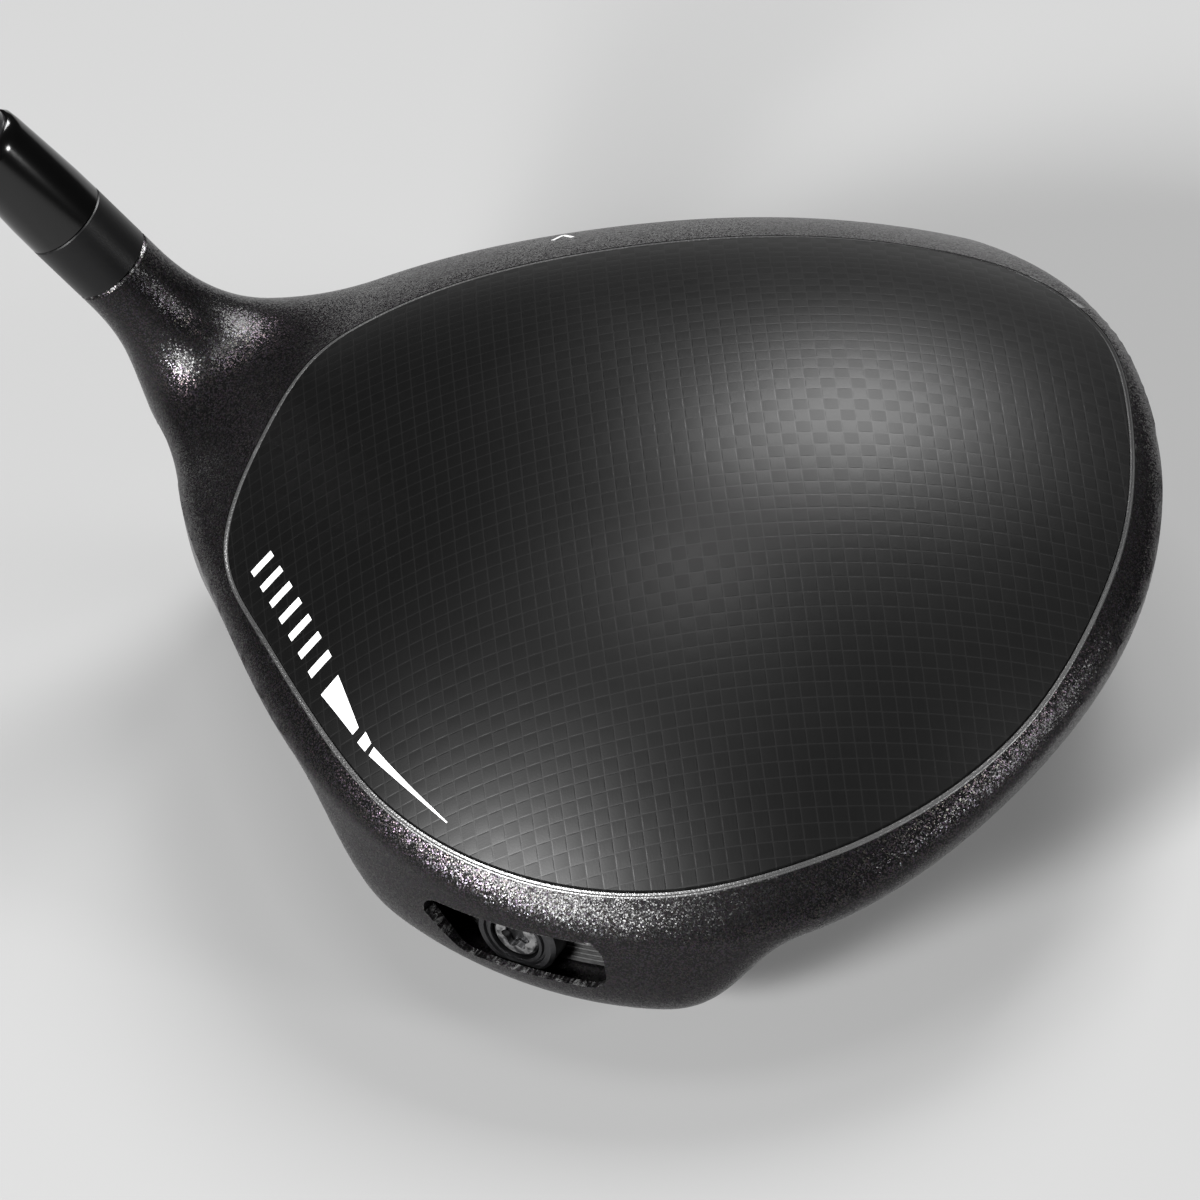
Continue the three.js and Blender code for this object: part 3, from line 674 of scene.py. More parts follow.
# %% Fine grain, flake and brushed grain
def fine_grain():
    """Small bumps all over, as on moulded plastic, paint or rubber."""
    tree, given, result = new_group(
        "fine grain",
        [("Place", "Vector", None), ("Grain", "Float", 0.0004)],
        [("Height", "Float"), ("Patches", "Float")],
    )
    scale = math_node(tree, "DIVIDE", 1.0, given.outputs["Grain"])
    tree.links.new(noise(tree, given.outputs["Place"], scale, 2.0), result.inputs["Height"])
    tree.links.new(noise(tree, given.outputs["Place"], 70.0, 3.0), result.inputs["Patches"])
    return tree


def metal_flake():
    """Tiny flat flakes in paint: each cell leans its own way, and some are bright."""
    tree, given, result = new_group(
        "metal flake",
        [
            ("Place", "Vector", None), ("Flake", "Float", 0.0002),
            ("Lean", "Float", 0.4), ("Amount", "Float", 0.4),
        ],
        [("Flakes", "Float"), ("Tint", "Color"), ("Normal", "Vector")],
    )
    scale = math_node(tree, "DIVIDE", 1.0, given.outputs["Flake"])
    cells = node(tree, "ShaderNodeTexVoronoi", Vector=given.outputs["Place"], Scale=scale)
    centred = vector_math(tree, "SUBTRACT", cells.outputs["Color"], (0.5, 0.5, 0.5))
    leaned = vector_scale(tree, centred, given.outputs["Lean"])
    surface = node(tree, "ShaderNodeNewGeometry").outputs["Normal"]
    summed = vector_math(tree, "ADD", surface, leaned)
    turned_normal = node(tree, "ShaderNodeVectorMath", {"operation": "NORMALIZE"}, i0=summed)
    chance = node(tree, "ShaderNodeSeparateColor", Color=cells.outputs["Color"]).outputs[0]
    limit = math_node(tree, "SUBTRACT", 1.0, given.outputs["Amount"])
    bright = ramp(tree, math_node(tree, "SUBTRACT", chance, limit), 0.0, 0.12)
    tint = mix_colours(tree, 0.22, (0.55, 0.54, 0.6, 1), cells.outputs["Color"])
    tree.links.new(bright, result.inputs["Flakes"])
    tree.links.new(tint, result.inputs["Tint"])
    tree.links.new(turned_normal.outputs[0], result.inputs["Normal"])
    return tree


def brushed_grain():
    """Long fine scratches along one axis of the place it is given."""
    tree, given, result = new_group(
        "brushed grain",
        [("Place", "Vector", None), ("Stretch", "Vector", (300.0, 9000.0, 9000.0))],
        [("Scratches", "Float")],
    )
    stretched = vector_math(tree, "MULTIPLY", given.outputs["Place"], given.outputs["Stretch"])
    tree.links.new(noise(tree, stretched, 1.0, 3.0), result.inputs["Scratches"])
    return tree


def edge_wear():
    """1 along convex edges, broken up by noise, for rubbed paint and polished corners, and on the satin paint
    partly a painted highlight along its edges.
    """
    tree, given, result = new_group(
        "edge wear", [("Place", "Vector", None), ("Reach", "Float", 0.06)], [("Wear", "Float")]
    )
    sharpness = node(tree, "ShaderNodeNewGeometry").outputs["Pointiness"]
    start = math_node(tree, "ADD", 0.5, given.outputs["Reach"])
    edges = ramp(tree, math_node(tree, "SUBTRACT", sharpness, start), 0.0, 0.05)
    breaks = noise(tree, given.outputs["Place"], 900.0, 4.0)
    tree.links.new(math_node(tree, "MULTIPLY", edges, ramp(tree, breaks, 0.35, 0.6)), result.inputs["Wear"])
    return tree


# %% Plain weave
def plain_weave():
    """Tows that pass over and under each other in square cells, on a flat pattern coordinate."""
    tree, given, result = new_group(
        "plain weave",
        [("Lay", "Vector", None), ("Cell", "Float", 0.0019)],
        [("Height", "Float"), ("Across", "Float"), ("Fibres", "Float"), ("Gaps", "Float")],
    )
    scale = math_node(tree, "DIVIDE", 1.0, given.outputs["Cell"])
    scaled = vector_scale(tree, given.outputs["Lay"], scale)
    parts = node(tree, "ShaderNodeSeparateXYZ", Vector=scaled)
    u, v = parts.outputs[0], parts.outputs[1]
    cells = math_node(tree, "ADD", math_node(tree, "FLOOR", u), math_node(tree, "FLOOR", v))
    across = math_node(tree, "FLOORED_MODULO", cells, 2.0)
    crowned, edged = [], []
    for value in (u, v):
        share = math_node(tree, "FRACT", value)
        arch = math_node(tree, "SINE", math_node(tree, "MULTIPLY", share, math.pi))
        crowned.append(math_node(tree, "POWER", arch, 0.6))
        from_middle = math_node(tree, "ABSOLUTE", math_node(tree, "SUBTRACT", share, 0.5))
        edged.append(ramp(tree, from_middle, 0.5, 0.41))
    along_u = math_node(tree, "MULTIPLY", crowned[0], edged[1])
    along_v = math_node(tree, "MULTIPLY", crowned[1], edged[0])
    height = mix_values(tree, across, along_u, along_v)
    fine = []
    for stretch in ((0.7, 22.0, 1.0), (22.0, 0.7, 1.0)):
        fine.append(noise(tree, vector_math(tree, "MULTIPLY", scaled, stretch), 1.0, 2.0))
    gaps = math_node(tree, "SUBTRACT", 1.0, ramp(tree, height, 0.05, 0.5))
    tree.links.new(height, result.inputs["Height"])
    tree.links.new(across, result.inputs["Across"])
    tree.links.new(mix_values(tree, across, *fine), result.inputs["Fibres"])
    tree.links.new(gaps, result.inputs["Gaps"])
    return tree


GROUPS = {g.name: g for g in (fine_grain(), metal_flake(), brushed_grain(), edge_wear(), plain_weave())}
print("shader groups:", ", ".join(GROUPS))

# %% [markdown]
# ## Finishes
#
# Each material starts from one helper that adds the groups it asks for. The shader itself stays in the
# material, and values that are the same all over are set on its own sockets.

# %% Material helpers
def finish(name, **values):
    """A material with its shader's plain values, and the place on the piece as a socket."""
    material = bpy.data.materials.new(name)
    material.use_nodes = True
    tree = material.node_tree
    shader = tree.nodes["Principled BSDF"]
    for key, value in values.items():
        shader.inputs[key.replace("_", " ")].default_value = value
    place = node(tree, "ShaderNodeTexCoord").outputs["Object"]
    return material, tree, shader, place


def effect(tree, name, **links):
    made = tree.nodes.new("ShaderNodeGroup")
    made.node_tree = GROUPS[name]
    for key, value in links.items():
        if isinstance(value, bpy.types.NodeSocket):
            tree.links.new(value, made.inputs[key])
        else:
            made.inputs[key].default_value = value
    return made.outputs


def bump(tree, height, depth, strength=1.0, normal=None):
    """A normal from a height; depth is the height's full range in metres."""
    made = node(tree, "ShaderNodeBump", Height=height, Strength=strength, Distance=depth)
    if normal is not None:
        tree.links.new(normal, made.inputs["Normal"])
    return made.outputs["Normal"]


def grey(value, blue=1.0):
    return (value, value, value * blue, 1)


def plain_finish(name, colour, roughness, grain=0.0005, depth=0.00002, patches=0.06, wear=0.5, **values):
    """A moulded, painted or machined finish: fine grain, soft patches in its gloss, and rubbed edges."""
    material, tree, shader, place = finish(name, **values)
    grain_out = effect(tree, "fine grain", Place=place, Grain=grain)
    worn = effect(tree, "edge wear", Place=place)["Wear"]
    lighter = tuple(min(1.0, c * 2.2 + 0.02) for c in colour[:3]) + (1,)
    toned = mix_colours(tree, grain_out["Patches"], colour, tuple(c * 1.35 for c in colour[:3]) + (1,))
    rubbed = mix_colours(tree, math_node(tree, "MULTIPLY", worn, wear), toned, lighter)
    tree.links.new(rubbed, shader.inputs["Base Color"])
    rough = mix_values(tree, grain_out["Patches"], roughness - patches, roughness + patches)
    tree.links.new(rough, shader.inputs["Roughness"])
    tree.links.new(bump(tree, grain_out["Height"], depth), shader.inputs["Normal"])
    return material


# %% Satin black paint with flake
def flake_paint():
    material, tree, shader, place = finish("satin_flake_paint", Specular_IOR_Level=0.2)
    flake = effect(tree, "metal flake", Place=place, Flake=0.00015, Lean=0.3, Amount=0.45)
    grain = effect(tree, "fine grain", Place=place, Grain=0.0006)
    worn = effect(tree, "edge wear", Place=place, Reach=0.05)["Wear"]
    covered = math_node(tree, "MULTIPLY", flake["Flakes"], 0.06)
    colour = mix_colours(tree, covered, grey(0.002, 1.05), flake["Tint"])
    # Convex edges turn light grey: partly rubbed paint, partly a painted highlight along the edges of the
    # pockets and the slot
    colour = mix_colours(tree, math_node(tree, "MULTIPLY", worn, 0.5), colour, grey(0.3))
    tree.links.new(colour, shader.inputs["Base Color"])
    tree.links.new(math_node(tree, "MULTIPLY", flake["Flakes"], 0.85), shader.inputs["Metallic"])
    tree.links.new(mix_values(tree, grain["Patches"], 0.24, 0.3), shader.inputs["Roughness"])
    tree.links.new(bump(tree, grain["Height"], 0.000006, normal=flake["Normal"]), shader.inputs["Normal"])
    return material


# %% Satin carbon
def carbon_weave(name, cell, gloss):
    """Woven carbon under a satin lacquer; the cells that run front to back are painted a little lighter, a
    painted sheen for how their fibres catch the light.
    """
    material, tree, shader, place = finish(name, Specular_IOR_Level=0.23)
    lay = node(tree, "ShaderNodeUVMap", {"uv_map": "lay"}).outputs[0]
    weave = effect(tree, "plain weave", Lay=lay, Cell=cell)
    patches = effect(tree, "fine grain", Place=place, Grain=0.0003)
    # dark is the tone of the cells that run heel to toe; light, for the cells that run front to back, is a
    # painted sheen
    dark = mix_colours(tree, weave["Fibres"], grey(0.0006, 1.02), grey(0.002, 1.0))
    light = mix_colours(tree, weave["Fibres"], grey(0.001, 1.02), grey(0.0034, 1.0))
    toned = mix_colours(tree, weave["Across"], dark, light)
    tree.links.new(mix_colours(tree, weave["Gaps"], toned, grey(0.004)), shader.inputs["Base Color"])
    rough = mix_values(tree, weave["Across"], gloss + 0.025, gloss - 0.015)
    rough = mix_values(tree, math_node(tree, "MULTIPLY", patches["Patches"], 0.3), rough, 0.6)
    tree.links.new(rough, shader.inputs["Roughness"])
    tree.links.new(mix_values(tree, weave["Gaps"], 0.12, 0.0), shader.inputs["Metallic"])
    tows = bump(tree, weave["Height"], 0.00002, 0.5)
    fibres = bump(tree, weave["Fibres"], 0.000006, 0.5, normal=tows)
    tree.links.new(bump(tree, patches["Height"], 0.000005, 0.5, normal=fibres), shader.inputs["Normal"])
    return material


def brushed_steel(name, colour, roughness, stretch, **values):
    material, tree, shader, place = finish(name, Metallic=1.0, **values)
    scratches = effect(tree, "brushed grain", Place=place, Stretch=stretch)["Scratches"]
    worn = effect(tree, "edge wear", Place=place)["Wear"]
    toned = mix_colours(tree, scratches, tuple(c * 0.75 for c in colour[:3]) + (1,), colour)
    rubbed = mix_colours(tree, math_node(tree, "MULTIPLY", worn, 0.6), toned, grey(0.6))
    tree.links.new(rubbed, shader.inputs["Base Color"])
    rough = mix_values(tree, scratches, roughness - 0.07, roughness + 0.09)
    tree.links.new(rough, shader.inputs["Roughness"])
    tree.links.new(bump(tree, scratches, 0.000008), shader.inputs["Normal"])
    return material


# %% All the finishes
ROUND_GRAIN = (4000.0, 4000.0, 4000.0)
FINISHES = {
    "satin_black_paint": flake_paint(),
    "carbon_weave": carbon_weave("carbon_weave", 0.0019, 0.37),
    "face_metal": brushed_steel("face_metal", grey(0.09, 1.05), 0.42, (200.0, 6000.0, 9000.0)),
    "bright_line": plain_finish(
        "bright_line", grey(0.1), 0.34, grain=0.00025, depth=0.00006, patches=0.12, Metallic=0.7
    ),
    "track_plastic": plain_finish("track_plastic", grey(0.012), 0.55, grain=0.0003),
    "dark_steel": brushed_steel("dark_steel", grey(0.07, 1.04), 0.36, ROUND_GRAIN),
    "steel": brushed_steel("steel", grey(0.5, 1.03), 0.3, ROUND_GRAIN),
    "adapter_black": plain_finish(
        "adapter_black", grey(0.003, 1.05), 0.34, grain=0.00035, depth=0.000012, Specular_IOR_Level=0.25
    ),
    "ferrule_gloss": plain_finish(
        "ferrule_gloss", grey(0.001), 0.14, grain=0.003, depth=0.000002, patches=0.02, wear=0.15
    ),
    "shaft_paint": plain_finish(
        "shaft_paint", grey(0.02, 1.05), 0.2, grain=0.0008, depth=0.000004, patches=0.04
    ),
    "grip_rubber": plain_finish("grip_rubber", grey(0.018), 0.75, grain=0.0004, depth=0.00006, wear=0.3),
    "tape": plain_finish("tape", (0.55, 0.45, 0.27, 1), 0.8, grain=0.0006, depth=0.00003),
    "plug": plain_finish("plug", (0.25, 0.17, 0.09, 1), 0.85, grain=0.0012, depth=0.0001),
    "print_white": plain_finish("print_white", grey(0.62), 0.45, grain=0.0002, depth=0.000006, Metallic=0.2),
}
print(len(FINISHES), "finishes")

# %% [markdown]
# ## Head body, face plate and sole panels
#
# The head body gets its paint and rides on the head. The face plate is what the head's own solid and a
# slab behind the face share, so it continues the head's curves, and its scorelines are milled into it. The
# scorelines repeat, so a Geometry Nodes tree makes the cutter: a row of points, a bar on each point.

# %% Riding, finishing and hiding what is replaced
def place_piece(made, body, slot, *replaced):
    """Gives a finished piece the finish named by slot and its body, and hides the imported nodes it replaces.
    """
    made.data.materials.clear()
    made.data.materials.append(FINISHES[slot])
    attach(made, body)
    if replaced:
        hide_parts(*replaced)
    return made


place_piece(driver_head, "head", "satin_black_paint", "head_body")


# %% Bars in rows, by Geometry Nodes
def socket_ids(tree):
    return {item.name: item.identifier for item in tree.interface.items_tree if item.in_out == "INPUT"}


def new_growth(name, inputs):
    """A Geometry Nodes tree with named inputs, given as (name, kind, default), and a Finish."""
    tree = bpy.data.node_groups.new(name, "GeometryNodeTree")
    for socket_name, kind, default in inputs:
        socket = tree.interface.new_socket(socket_name, in_out="INPUT", socket_type="NodeSocket" + kind)
        socket.default_value = default
    tree.interface.new_socket("Finish", in_out="INPUT", socket_type="NodeSocketMaterial")
    tree.interface.new_socket("Geometry", in_out="OUTPUT", socket_type="NodeSocketGeometry")
    return tree, tree.nodes.new("NodeGroupInput"), tree.nodes.new("NodeGroupOutput")


def coat(tree, geometry, given, result):
    """The end of a tree: its geometry with the Finish on it."""
    coated = node(tree, "GeometryNodeSetMaterial", Geometry=geometry, Material=given.outputs["Finish"])
    tree.links.new(coated.outputs[0], result.inputs[0])
    return tree


def row_tree():
    """Geometry Nodes: Count bars of a size, Pitch apart along Z."""
    tree, given, result = new_growth("row of bars", [
        ("Count", "Int", 5), ("Pitch", "Float", 0.004), ("Size", "Vector", (0.01, 0.001, 0.001)),
        ("Start", "Vector", (0.0, 0.0, 0.0)),
    ])
    step = node(tree, "ShaderNodeCombineXYZ", Z=given.outputs["Pitch"])
    first = given.outputs["Start"]
    line = node(tree, "GeometryNodeMeshLine", Count=given.outputs["Count"], Start_Location=first)
    tree.links.new(step.outputs[0], line.inputs["Offset"])
    bar = node(tree, "GeometryNodeMeshCube", Size=given.outputs["Size"])
    rows = node(tree, "GeometryNodeInstanceOnPoints", Points=line.outputs[0], Instance=bar.outputs[0])
    real = node(tree, "GeometryNodeRealizeInstances", Geometry=rows.outputs[0])
    return coat(tree, real.outputs[0], given, result)


def grown(name, tree, **values):
    """The plain mesh that a Geometry Nodes tree makes from its named inputs."""
    made = bpy.data.objects.new(name, bpy.data.meshes.new(name))
    bpy.context.scene.collection.objects.link(made)
    modifier = made.modifiers.new("grow", "NODES")
    modifier.node_group = tree
    ids = socket_ids(tree)
    for key, value in values.items():
        modifier[ids[key.replace("_", " ")]] = value
    return baked(made)


SCORELINES = 5
SCORELINE = (13, 0.9, 0.35)
SCORELINE_PITCH = 4
SCORELINE_OFFSET = 20
SCORELINE_MIDDLE = 24.5
rows_of_bars = row_tree()
face_plate = piece("face_plate_milled", *head_skin)
face_slab = slab(FACE_PLATE_EDGE, on_face, -FACE_THICKNESS, 6, 0.0, rows=16, count=240)
carve(face_plate, *face_slab[:2], operation="INTERSECT")
for side in (-1, 1):
    low_z = SCORELINE_MIDDLE - (SCORELINES - 1) / 2 * SCORELINE_PITCH
    x = FACE_CENTRE[0] + side * SCORELINE_OFFSET
    bars = grown(
        "bars", rows_of_bars, Count=SCORELINES, Pitch=SCORELINE_PITCH * MM, Finish=FINISHES["face_metal"],
        Size=(SCORELINE[0] * MM, 20 * MM, SCORELINE[1] * MM), Start=(x * MM, 0.0, low_z * MM),
    )
    bar_points = np.array([v.co for v in bars.data.vertices]) / MM
    front = bar_points[:, 1] > 0
    surface = face_y(bar_points[:, 0], bar_points[:, 2])
    bar_points[:, 1] = np.where(front, surface + 3, surface - SCORELINE[2])
    carve(face_plate, bar_points, [list(p.vertices) for p in bars.data.polygons])
    bpy.data.objects.remove(bars)
tidy_mesh(face_plate.data)
place_piece(face_plate, "head", "face_metal", "face_plate")
print("face plate", triangles(face_plate), "triangles,", 2 * SCORELINES, "scorelines")

# %% [markdown]
# ## Carbon on the crown and the sole
#
# Woven cloth keeps its cell size along the surface, so its pattern coordinates are lengths measured along
# the surface from front to back and from heel to toe, not the plan view's x and y. The lengths come from
# adding up small steps of the slope.

# %% Carbon skins
WEAVE_TURN = math.radians(1.6)
INSERT_THICKNESS = 0.75
SOLE_PANEL_THICKNESS = 0.6
INSERT_LIFT = 0.1
BOND_LINE_WIDTH = 0.7


def cloth_lay(plan, height_of, turn=WEAVE_TURN, steps=16):
    """Pattern coordinates of plan points in metres, measured along the surface from its middle lines."""
    shares = (np.arange(steps) + 0.5) / steps
    lengths = []
    for axis in (0, 1):
        path = np.repeat(plan[:, None, :], steps, axis=1)
        path[:, :, axis] = plan[:, None, axis] * shares
        nudge = 0.2 * np.eye(2)[axis]
        flat = path.reshape(-1, 2)
        slope = (height_of(*(flat + nudge).T) - height_of(*(flat - nudge).T)) / 0.4
        slope = np.clip(slope, -2, 2).reshape(len(plan), steps)
        lengths.append(plan[:, axis] * np.sqrt(1 + slope**2).mean(axis=1))
    u, v = lengths
    c, s = math.cos(turn), math.sin(turn)
    return np.stack([c * u + s * v, c * v - s * u], axis=1) * MM


def carbon_panel(name, edge, place, height_of, thickness, trim, rows, count):
    points, faces, plan = slab(edge, place, -thickness - INSERT_LIFT, -INSERT_LIFT, trim, rows, count)
    upper = len(points) // 2
    lay = cloth_lay(plan[:upper], height_of)
    return piece(name, points, faces, lay=np.concatenate([lay, lay[reverse_rows(rows, count)]]))


def reverse_rows(rows, count):
    """The order of a slab's lower points that its upper points follow, ring by ring from the edge in."""
    order = []
    for r in range(rows, 0, -1):
        start = 1 + (r - 1) * count
        order += list(range(start, start + count))
    return np.array(order + [0])


insert_trim = -BOND_LINE_WIDTH - 0.05
crown = carbon_panel(
    "crown_carbon", INSERT_EDGE, on_crown, crown_z, INSERT_THICKNESS, insert_trim, rows=26, count=240
)
place_piece(crown, "head", "carbon_weave", "crown_insert")
for panel_name, panel_edge in SOLE_PANEL_EDGES.items():
    panel = carbon_panel(
        panel_name + "_carbon", panel_edge, on_sole, sole_z, SOLE_PANEL_THICKNESS, -FIT, rows=12, count=120
    )
    place_piece(panel, "head", "carbon_weave", panel_name)
print("crown carbon", triangles(crown), "triangles")

# %% [markdown]
# ## Bond line and printed marks
#
# A thin bright bead shows where the carbon meets the painted body. It is a closed ring between two offset
# edges, a little uneven in height as squeezed adhesive is. The marks on the heel side are ribbons of print
# a few hundredths of a millimetre thick: plain bars, and a dash that thins out along the rear edge.

# %% Bond line
def edge_ring(edge, profile, count=480):
    """A closed ring that follows the edge; profile is [offset inwards, lift] pairs in order."""
    loop = smooth_loop(edge, count)
    middle = loop.mean(axis=0)
    out = loop - middle
    reach = np.linalg.norm(out, axis=1)
    rows = []
    for inwards, lift in profile:
        plan = middle + out * (1 - inwards / reach)[:, None]
        rows.append(on_crown(plan, lift))
    return skin(rows, wrapped=True)


BEAD = [
    (0.04, -0.85), (0.04, -0.16), (0.12, -0.08), (0.20, -0.08), (0.28, -0.20), (0.48, -0.42),
    (0.66, -0.42), (0.66, -0.85),
]
bond_line = piece("crown_bond_bead", *edge_ring(INSERT_EDGE, BEAD))
place_piece(bond_line, "head", "bright_line", "crown_bond_line")


# %% Printed marks
PRINT_THICKNESS = 0.05


def ribbon(line, widths, count=24):
    """A printed ribbon on the carbon along a smooth plan line, with a width at each of its points."""
    line = np.array(line, float)
    along = np.linspace(0, len(line) - 1, count)
    plan = np.stack([np.interp(along, range(len(line)), line[:, k]) for k in range(2)], axis=1)
    if len(line) == 3:
        t = np.linspace(0, 1, count)[:, None]
        bend = 2 * line[1] - (line[0] + line[2]) / 2
        plan = (1 - t) ** 2 * line[0] + 2 * t * (1 - t) * bend + t**2 * line[2]
    half_width = np.interp(np.linspace(0, 1, count), np.linspace(0, 1, len(widths)), widths)[:, None] / 2
    heading = np.gradient(plan, axis=0)
    side = np.stack([-heading[:, 1], heading[:, 0]], axis=1)
    side = side / np.linalg.norm(side, axis=1)[:, None] * half_width
    low, high = -INSERT_LIFT - 0.03, -INSERT_LIFT - 0.03 + PRINT_THICKNESS + 0.03
    corners = [on_crown(plan + s * side, lift) for s, lift in ((-1, low), (1, low), (1, high), (-1, high))]
    return bar_skin(np.stack(corners, axis=1))


BARS = 7
BAR_ROW = ((-54.6, -7.8), (-47.6, -26.4))
BAR_LENGTH = 2.3
BAR_WIDTH = 1.5
marks = []
first, final = np.array(BAR_ROW[0]), np.array(BAR_ROW[1])
heading = (final - first) / np.linalg.norm(final - first)
crosswise = np.array([-heading[1], heading[0]])
for k in range(BARS):
    centre = first + (final - first) * k / (BARS - 1)
    reach = crosswise * BAR_WIDTH
    marks.append(ribbon([centre - reach, centre + reach], [BAR_LENGTH * 0.5] * 2, 6))
marks.append(ribbon([(-46.5, -29.6), (-43.6, -36.4)], [2.6, 0.9], 12))
marks.append(ribbon([(-42.9, -37.4), (-42.2, -38.8)], [1.3, 1.0], 6))
marks.append(ribbon([(-41.8, -39.4), (-37.9, -44.4), (-33.2, -49.7)], [0.9, 0.45, 0.1], 32))
printed_marks = piece("printed_marks", *joined(marks))
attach(printed_marks, "head")
printed_marks.data.materials.append(FINISHES["print_white"])

ALIGNMENT_MARK = (-14.2, 43.9)
ALIGNMENT_SIZE = (1.3, 1.5)
mark_x, mark_y = ALIGNMENT_MARK
chevron = []
for side in (-1, 1):
    tip = (mark_x, mark_y + ALIGNMENT_SIZE[1])
    end = (mark_x + side * ALIGNMENT_SIZE[0], mark_y - ALIGNMENT_SIZE[1] / 2)
    chevron.append(ribbon([tip, end], [0.5, 0.5], 6))
chevron_points, chevron_faces = joined(chevron)
chevron_points[:, 2] += INSERT_LIFT
alignment_mark = piece("alignment_mark", chevron_points, chevron_faces)
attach(alignment_mark, "head")
alignment_mark.data.materials.append(FINISHES["print_white"])
print("bond line", triangles(bond_line), "triangles; printed marks", len(marks) + 2)

# %% [markdown]
# ## The sliding weight
#
# A round steel weight sits behind the slot's lips. A screw through it draws a nut against the rail, which
# clamps it, and the rail is ribbed so that it grips. Turned parts are lathe profiles laid in the track's
# own directions. The ribs repeat up the rail, so they come from a Geometry Nodes tree: an arc of the rail's
# radius, a small section along it, and a copy at each pitch.

# %% Parts of the slider
WEIGHT_RADIUS = 5.5
WEIGHT_DEPTHS = (1.7, 5.4)
RAIL_DEPTHS = (5.7, 7.2)
RAIL_SLOT_HALF_LENGTH = 10.8
NUT_DEPTHS = (7.7, 10.2)
COUNTERBORE_DEPTH = 4.2
SCREW_RADIUS = 1.9
SCREW_HEAD_RADIUS = 3.1
OUT = np.array([math.cos(TRACK_DIRECTION), math.sin(TRACK_DIRECTION), 0.0])
TOEWARD = np.array([-OUT[1], OUT[0], 0.0])
UPWARD = np.array([0.0, 0.0, 1.0])
SLOT_MIDDLE = np.array([*TRACK_AXIS, TRACK_HEIGHT]) + OUT * TRACK_RADIUS


def slider_turned(profile, wrapped=False, count=96):
    """A turned solid on the weight's axis from [radius, depth] pairs."""
    angle = np.linspace(0, 2 * math.pi, count, endpoint=False)
    circle = np.multiply.outer(np.cos(angle), TOEWARD) + np.multiply.outer(np.sin(angle), UPWARD)
    rows = []
    for radius, depth in profile:
        ring = circle * radius if radius > 0 else np.zeros((1, 3))
        rows.append(SLOT_MIDDLE - OUT * depth + ring)
    return skin(rows, wrapped)


def lobed_socket(radius, shallow, deep, middle, toward, side_a, side_b, lobes=6, count=96):
    """The six-lobed socket's cutter between two depths along an axis."""
    angle = np.linspace(0, 2 * math.pi, count, endpoint=False)
    reach = radius * (0.88 + 0.12 * np.cos(lobes * angle))
    ring = np.multiply.outer(reach * np.cos(angle), side_a) + np.multiply.outer(reach * np.sin(angle), side_b)
    return skin([(middle + toward * d)[None] if flat else middle + toward * d + ring
                 for d, flat in ((shallow, True), (shallow, False), (deep, False), (deep, True))])


hole, seat, front, back = SCREW_RADIUS + FIT, SCREW_HEAD_RADIUS + FIT, *WEIGHT_DEPTHS
weight = piece("sliding_weight", *slider_turned([
    (hole, back), (WEIGHT_RADIUS - 0.3, back), (WEIGHT_RADIUS, back - 0.3), (WEIGHT_RADIUS, front + 0.5),
    (WEIGHT_RADIUS - 0.5, front), (4.35, front), (4.2, front + 0.35), (3.95, front + 0.35), (3.8, front),
    (seat, front), (seat, COUNTERBORE_DEPTH), (hole, COUNTERBORE_DEPTH),
], wrapped=True))
place_piece(weight, "slider", "dark_steel", "slider_weight")
screw = piece("weight_screw", *slider_turned([
    (0, front + 0.2), (SCREW_HEAD_RADIUS - 0.35, front + 0.2), (SCREW_HEAD_RADIUS, front + 0.55),
    (SCREW_HEAD_RADIUS, COUNTERBORE_DEPTH - 0.6), (SCREW_RADIUS, COUNTERBORE_DEPTH - 0.6),
    (SCREW_RADIUS, NUT_DEPTHS[1] - 0.4), (SCREW_RADIUS - 0.3, NUT_DEPTHS[1] - 0.1), (0, NUT_DEPTHS[1] - 0.1),
]))
carve(screw, *lobed_socket(2.0, -1.0, COUNTERBORE_DEPTH - 1.2, SLOT_MIDDLE, -OUT, TOEWARD, UPWARD))
tidy_mesh(screw.data)
place_piece(screw, "slider_screw", "dark_steel", "slider_screw")

rail = piece("weight_rail", *bent_bar(CHAMBER_HALF[0] - FIT, CHAMBER_HALF[1] - FIT, *RAIL_DEPTHS))
carve(rail, *bent_bar(RAIL_SLOT_HALF_LENGTH, SCREW_RADIUS + FIT, 5, 9, corner=SCREW_RADIUS))


# %% Ribs on the rail, by Geometry Nodes
def rib_tree():
    """Geometry Nodes: Count bent ribs, Pitch apart, on an arc about Middle."""
    tree, given, result = new_growth("bent ribs", [
        ("Count", "Int", 9), ("Pitch", "Float", 0.0006), ("Radius", "Float", 0.05), ("Start", "Float", 0.0),
        ("Sweep", "Float", 0.2), ("Rib", "Float", 0.0003), ("Middle", "Vector", (0.0, 0.0, 0.0)),
    ])
    g = given.outputs
    arc = node(
        tree, "GeometryNodeCurveArc", Resolution=24,
        Radius=g["Radius"], Start_Angle=g["Start"], Sweep_Angle=g["Sweep"],
    )
    section = node(tree, "GeometryNodeCurvePrimitiveCircle", Resolution=8, Radius=g["Rib"])
    rib = node(tree, "GeometryNodeCurveToMesh", Curve=arc.outputs[0], Fill_Caps=True)
    tree.links.new(section.outputs[0], rib.inputs["Profile Curve"])
    step = node(tree, "ShaderNodeCombineXYZ", Z=g["Pitch"])
    line = node(tree, "GeometryNodeMeshLine", Count=g["Count"], Start_Location=g["Middle"])
    tree.links.new(step.outputs[0], line.inputs["Offset"])
    copies = node(tree, "GeometryNodeInstanceOnPoints", Points=line.outputs[0], Instance=rib.outputs[0])
    real = node(tree, "GeometryNodeRealizeInstances", Geometry=copies.outputs[0])
    return coat(tree, real.outputs[0], given, result)


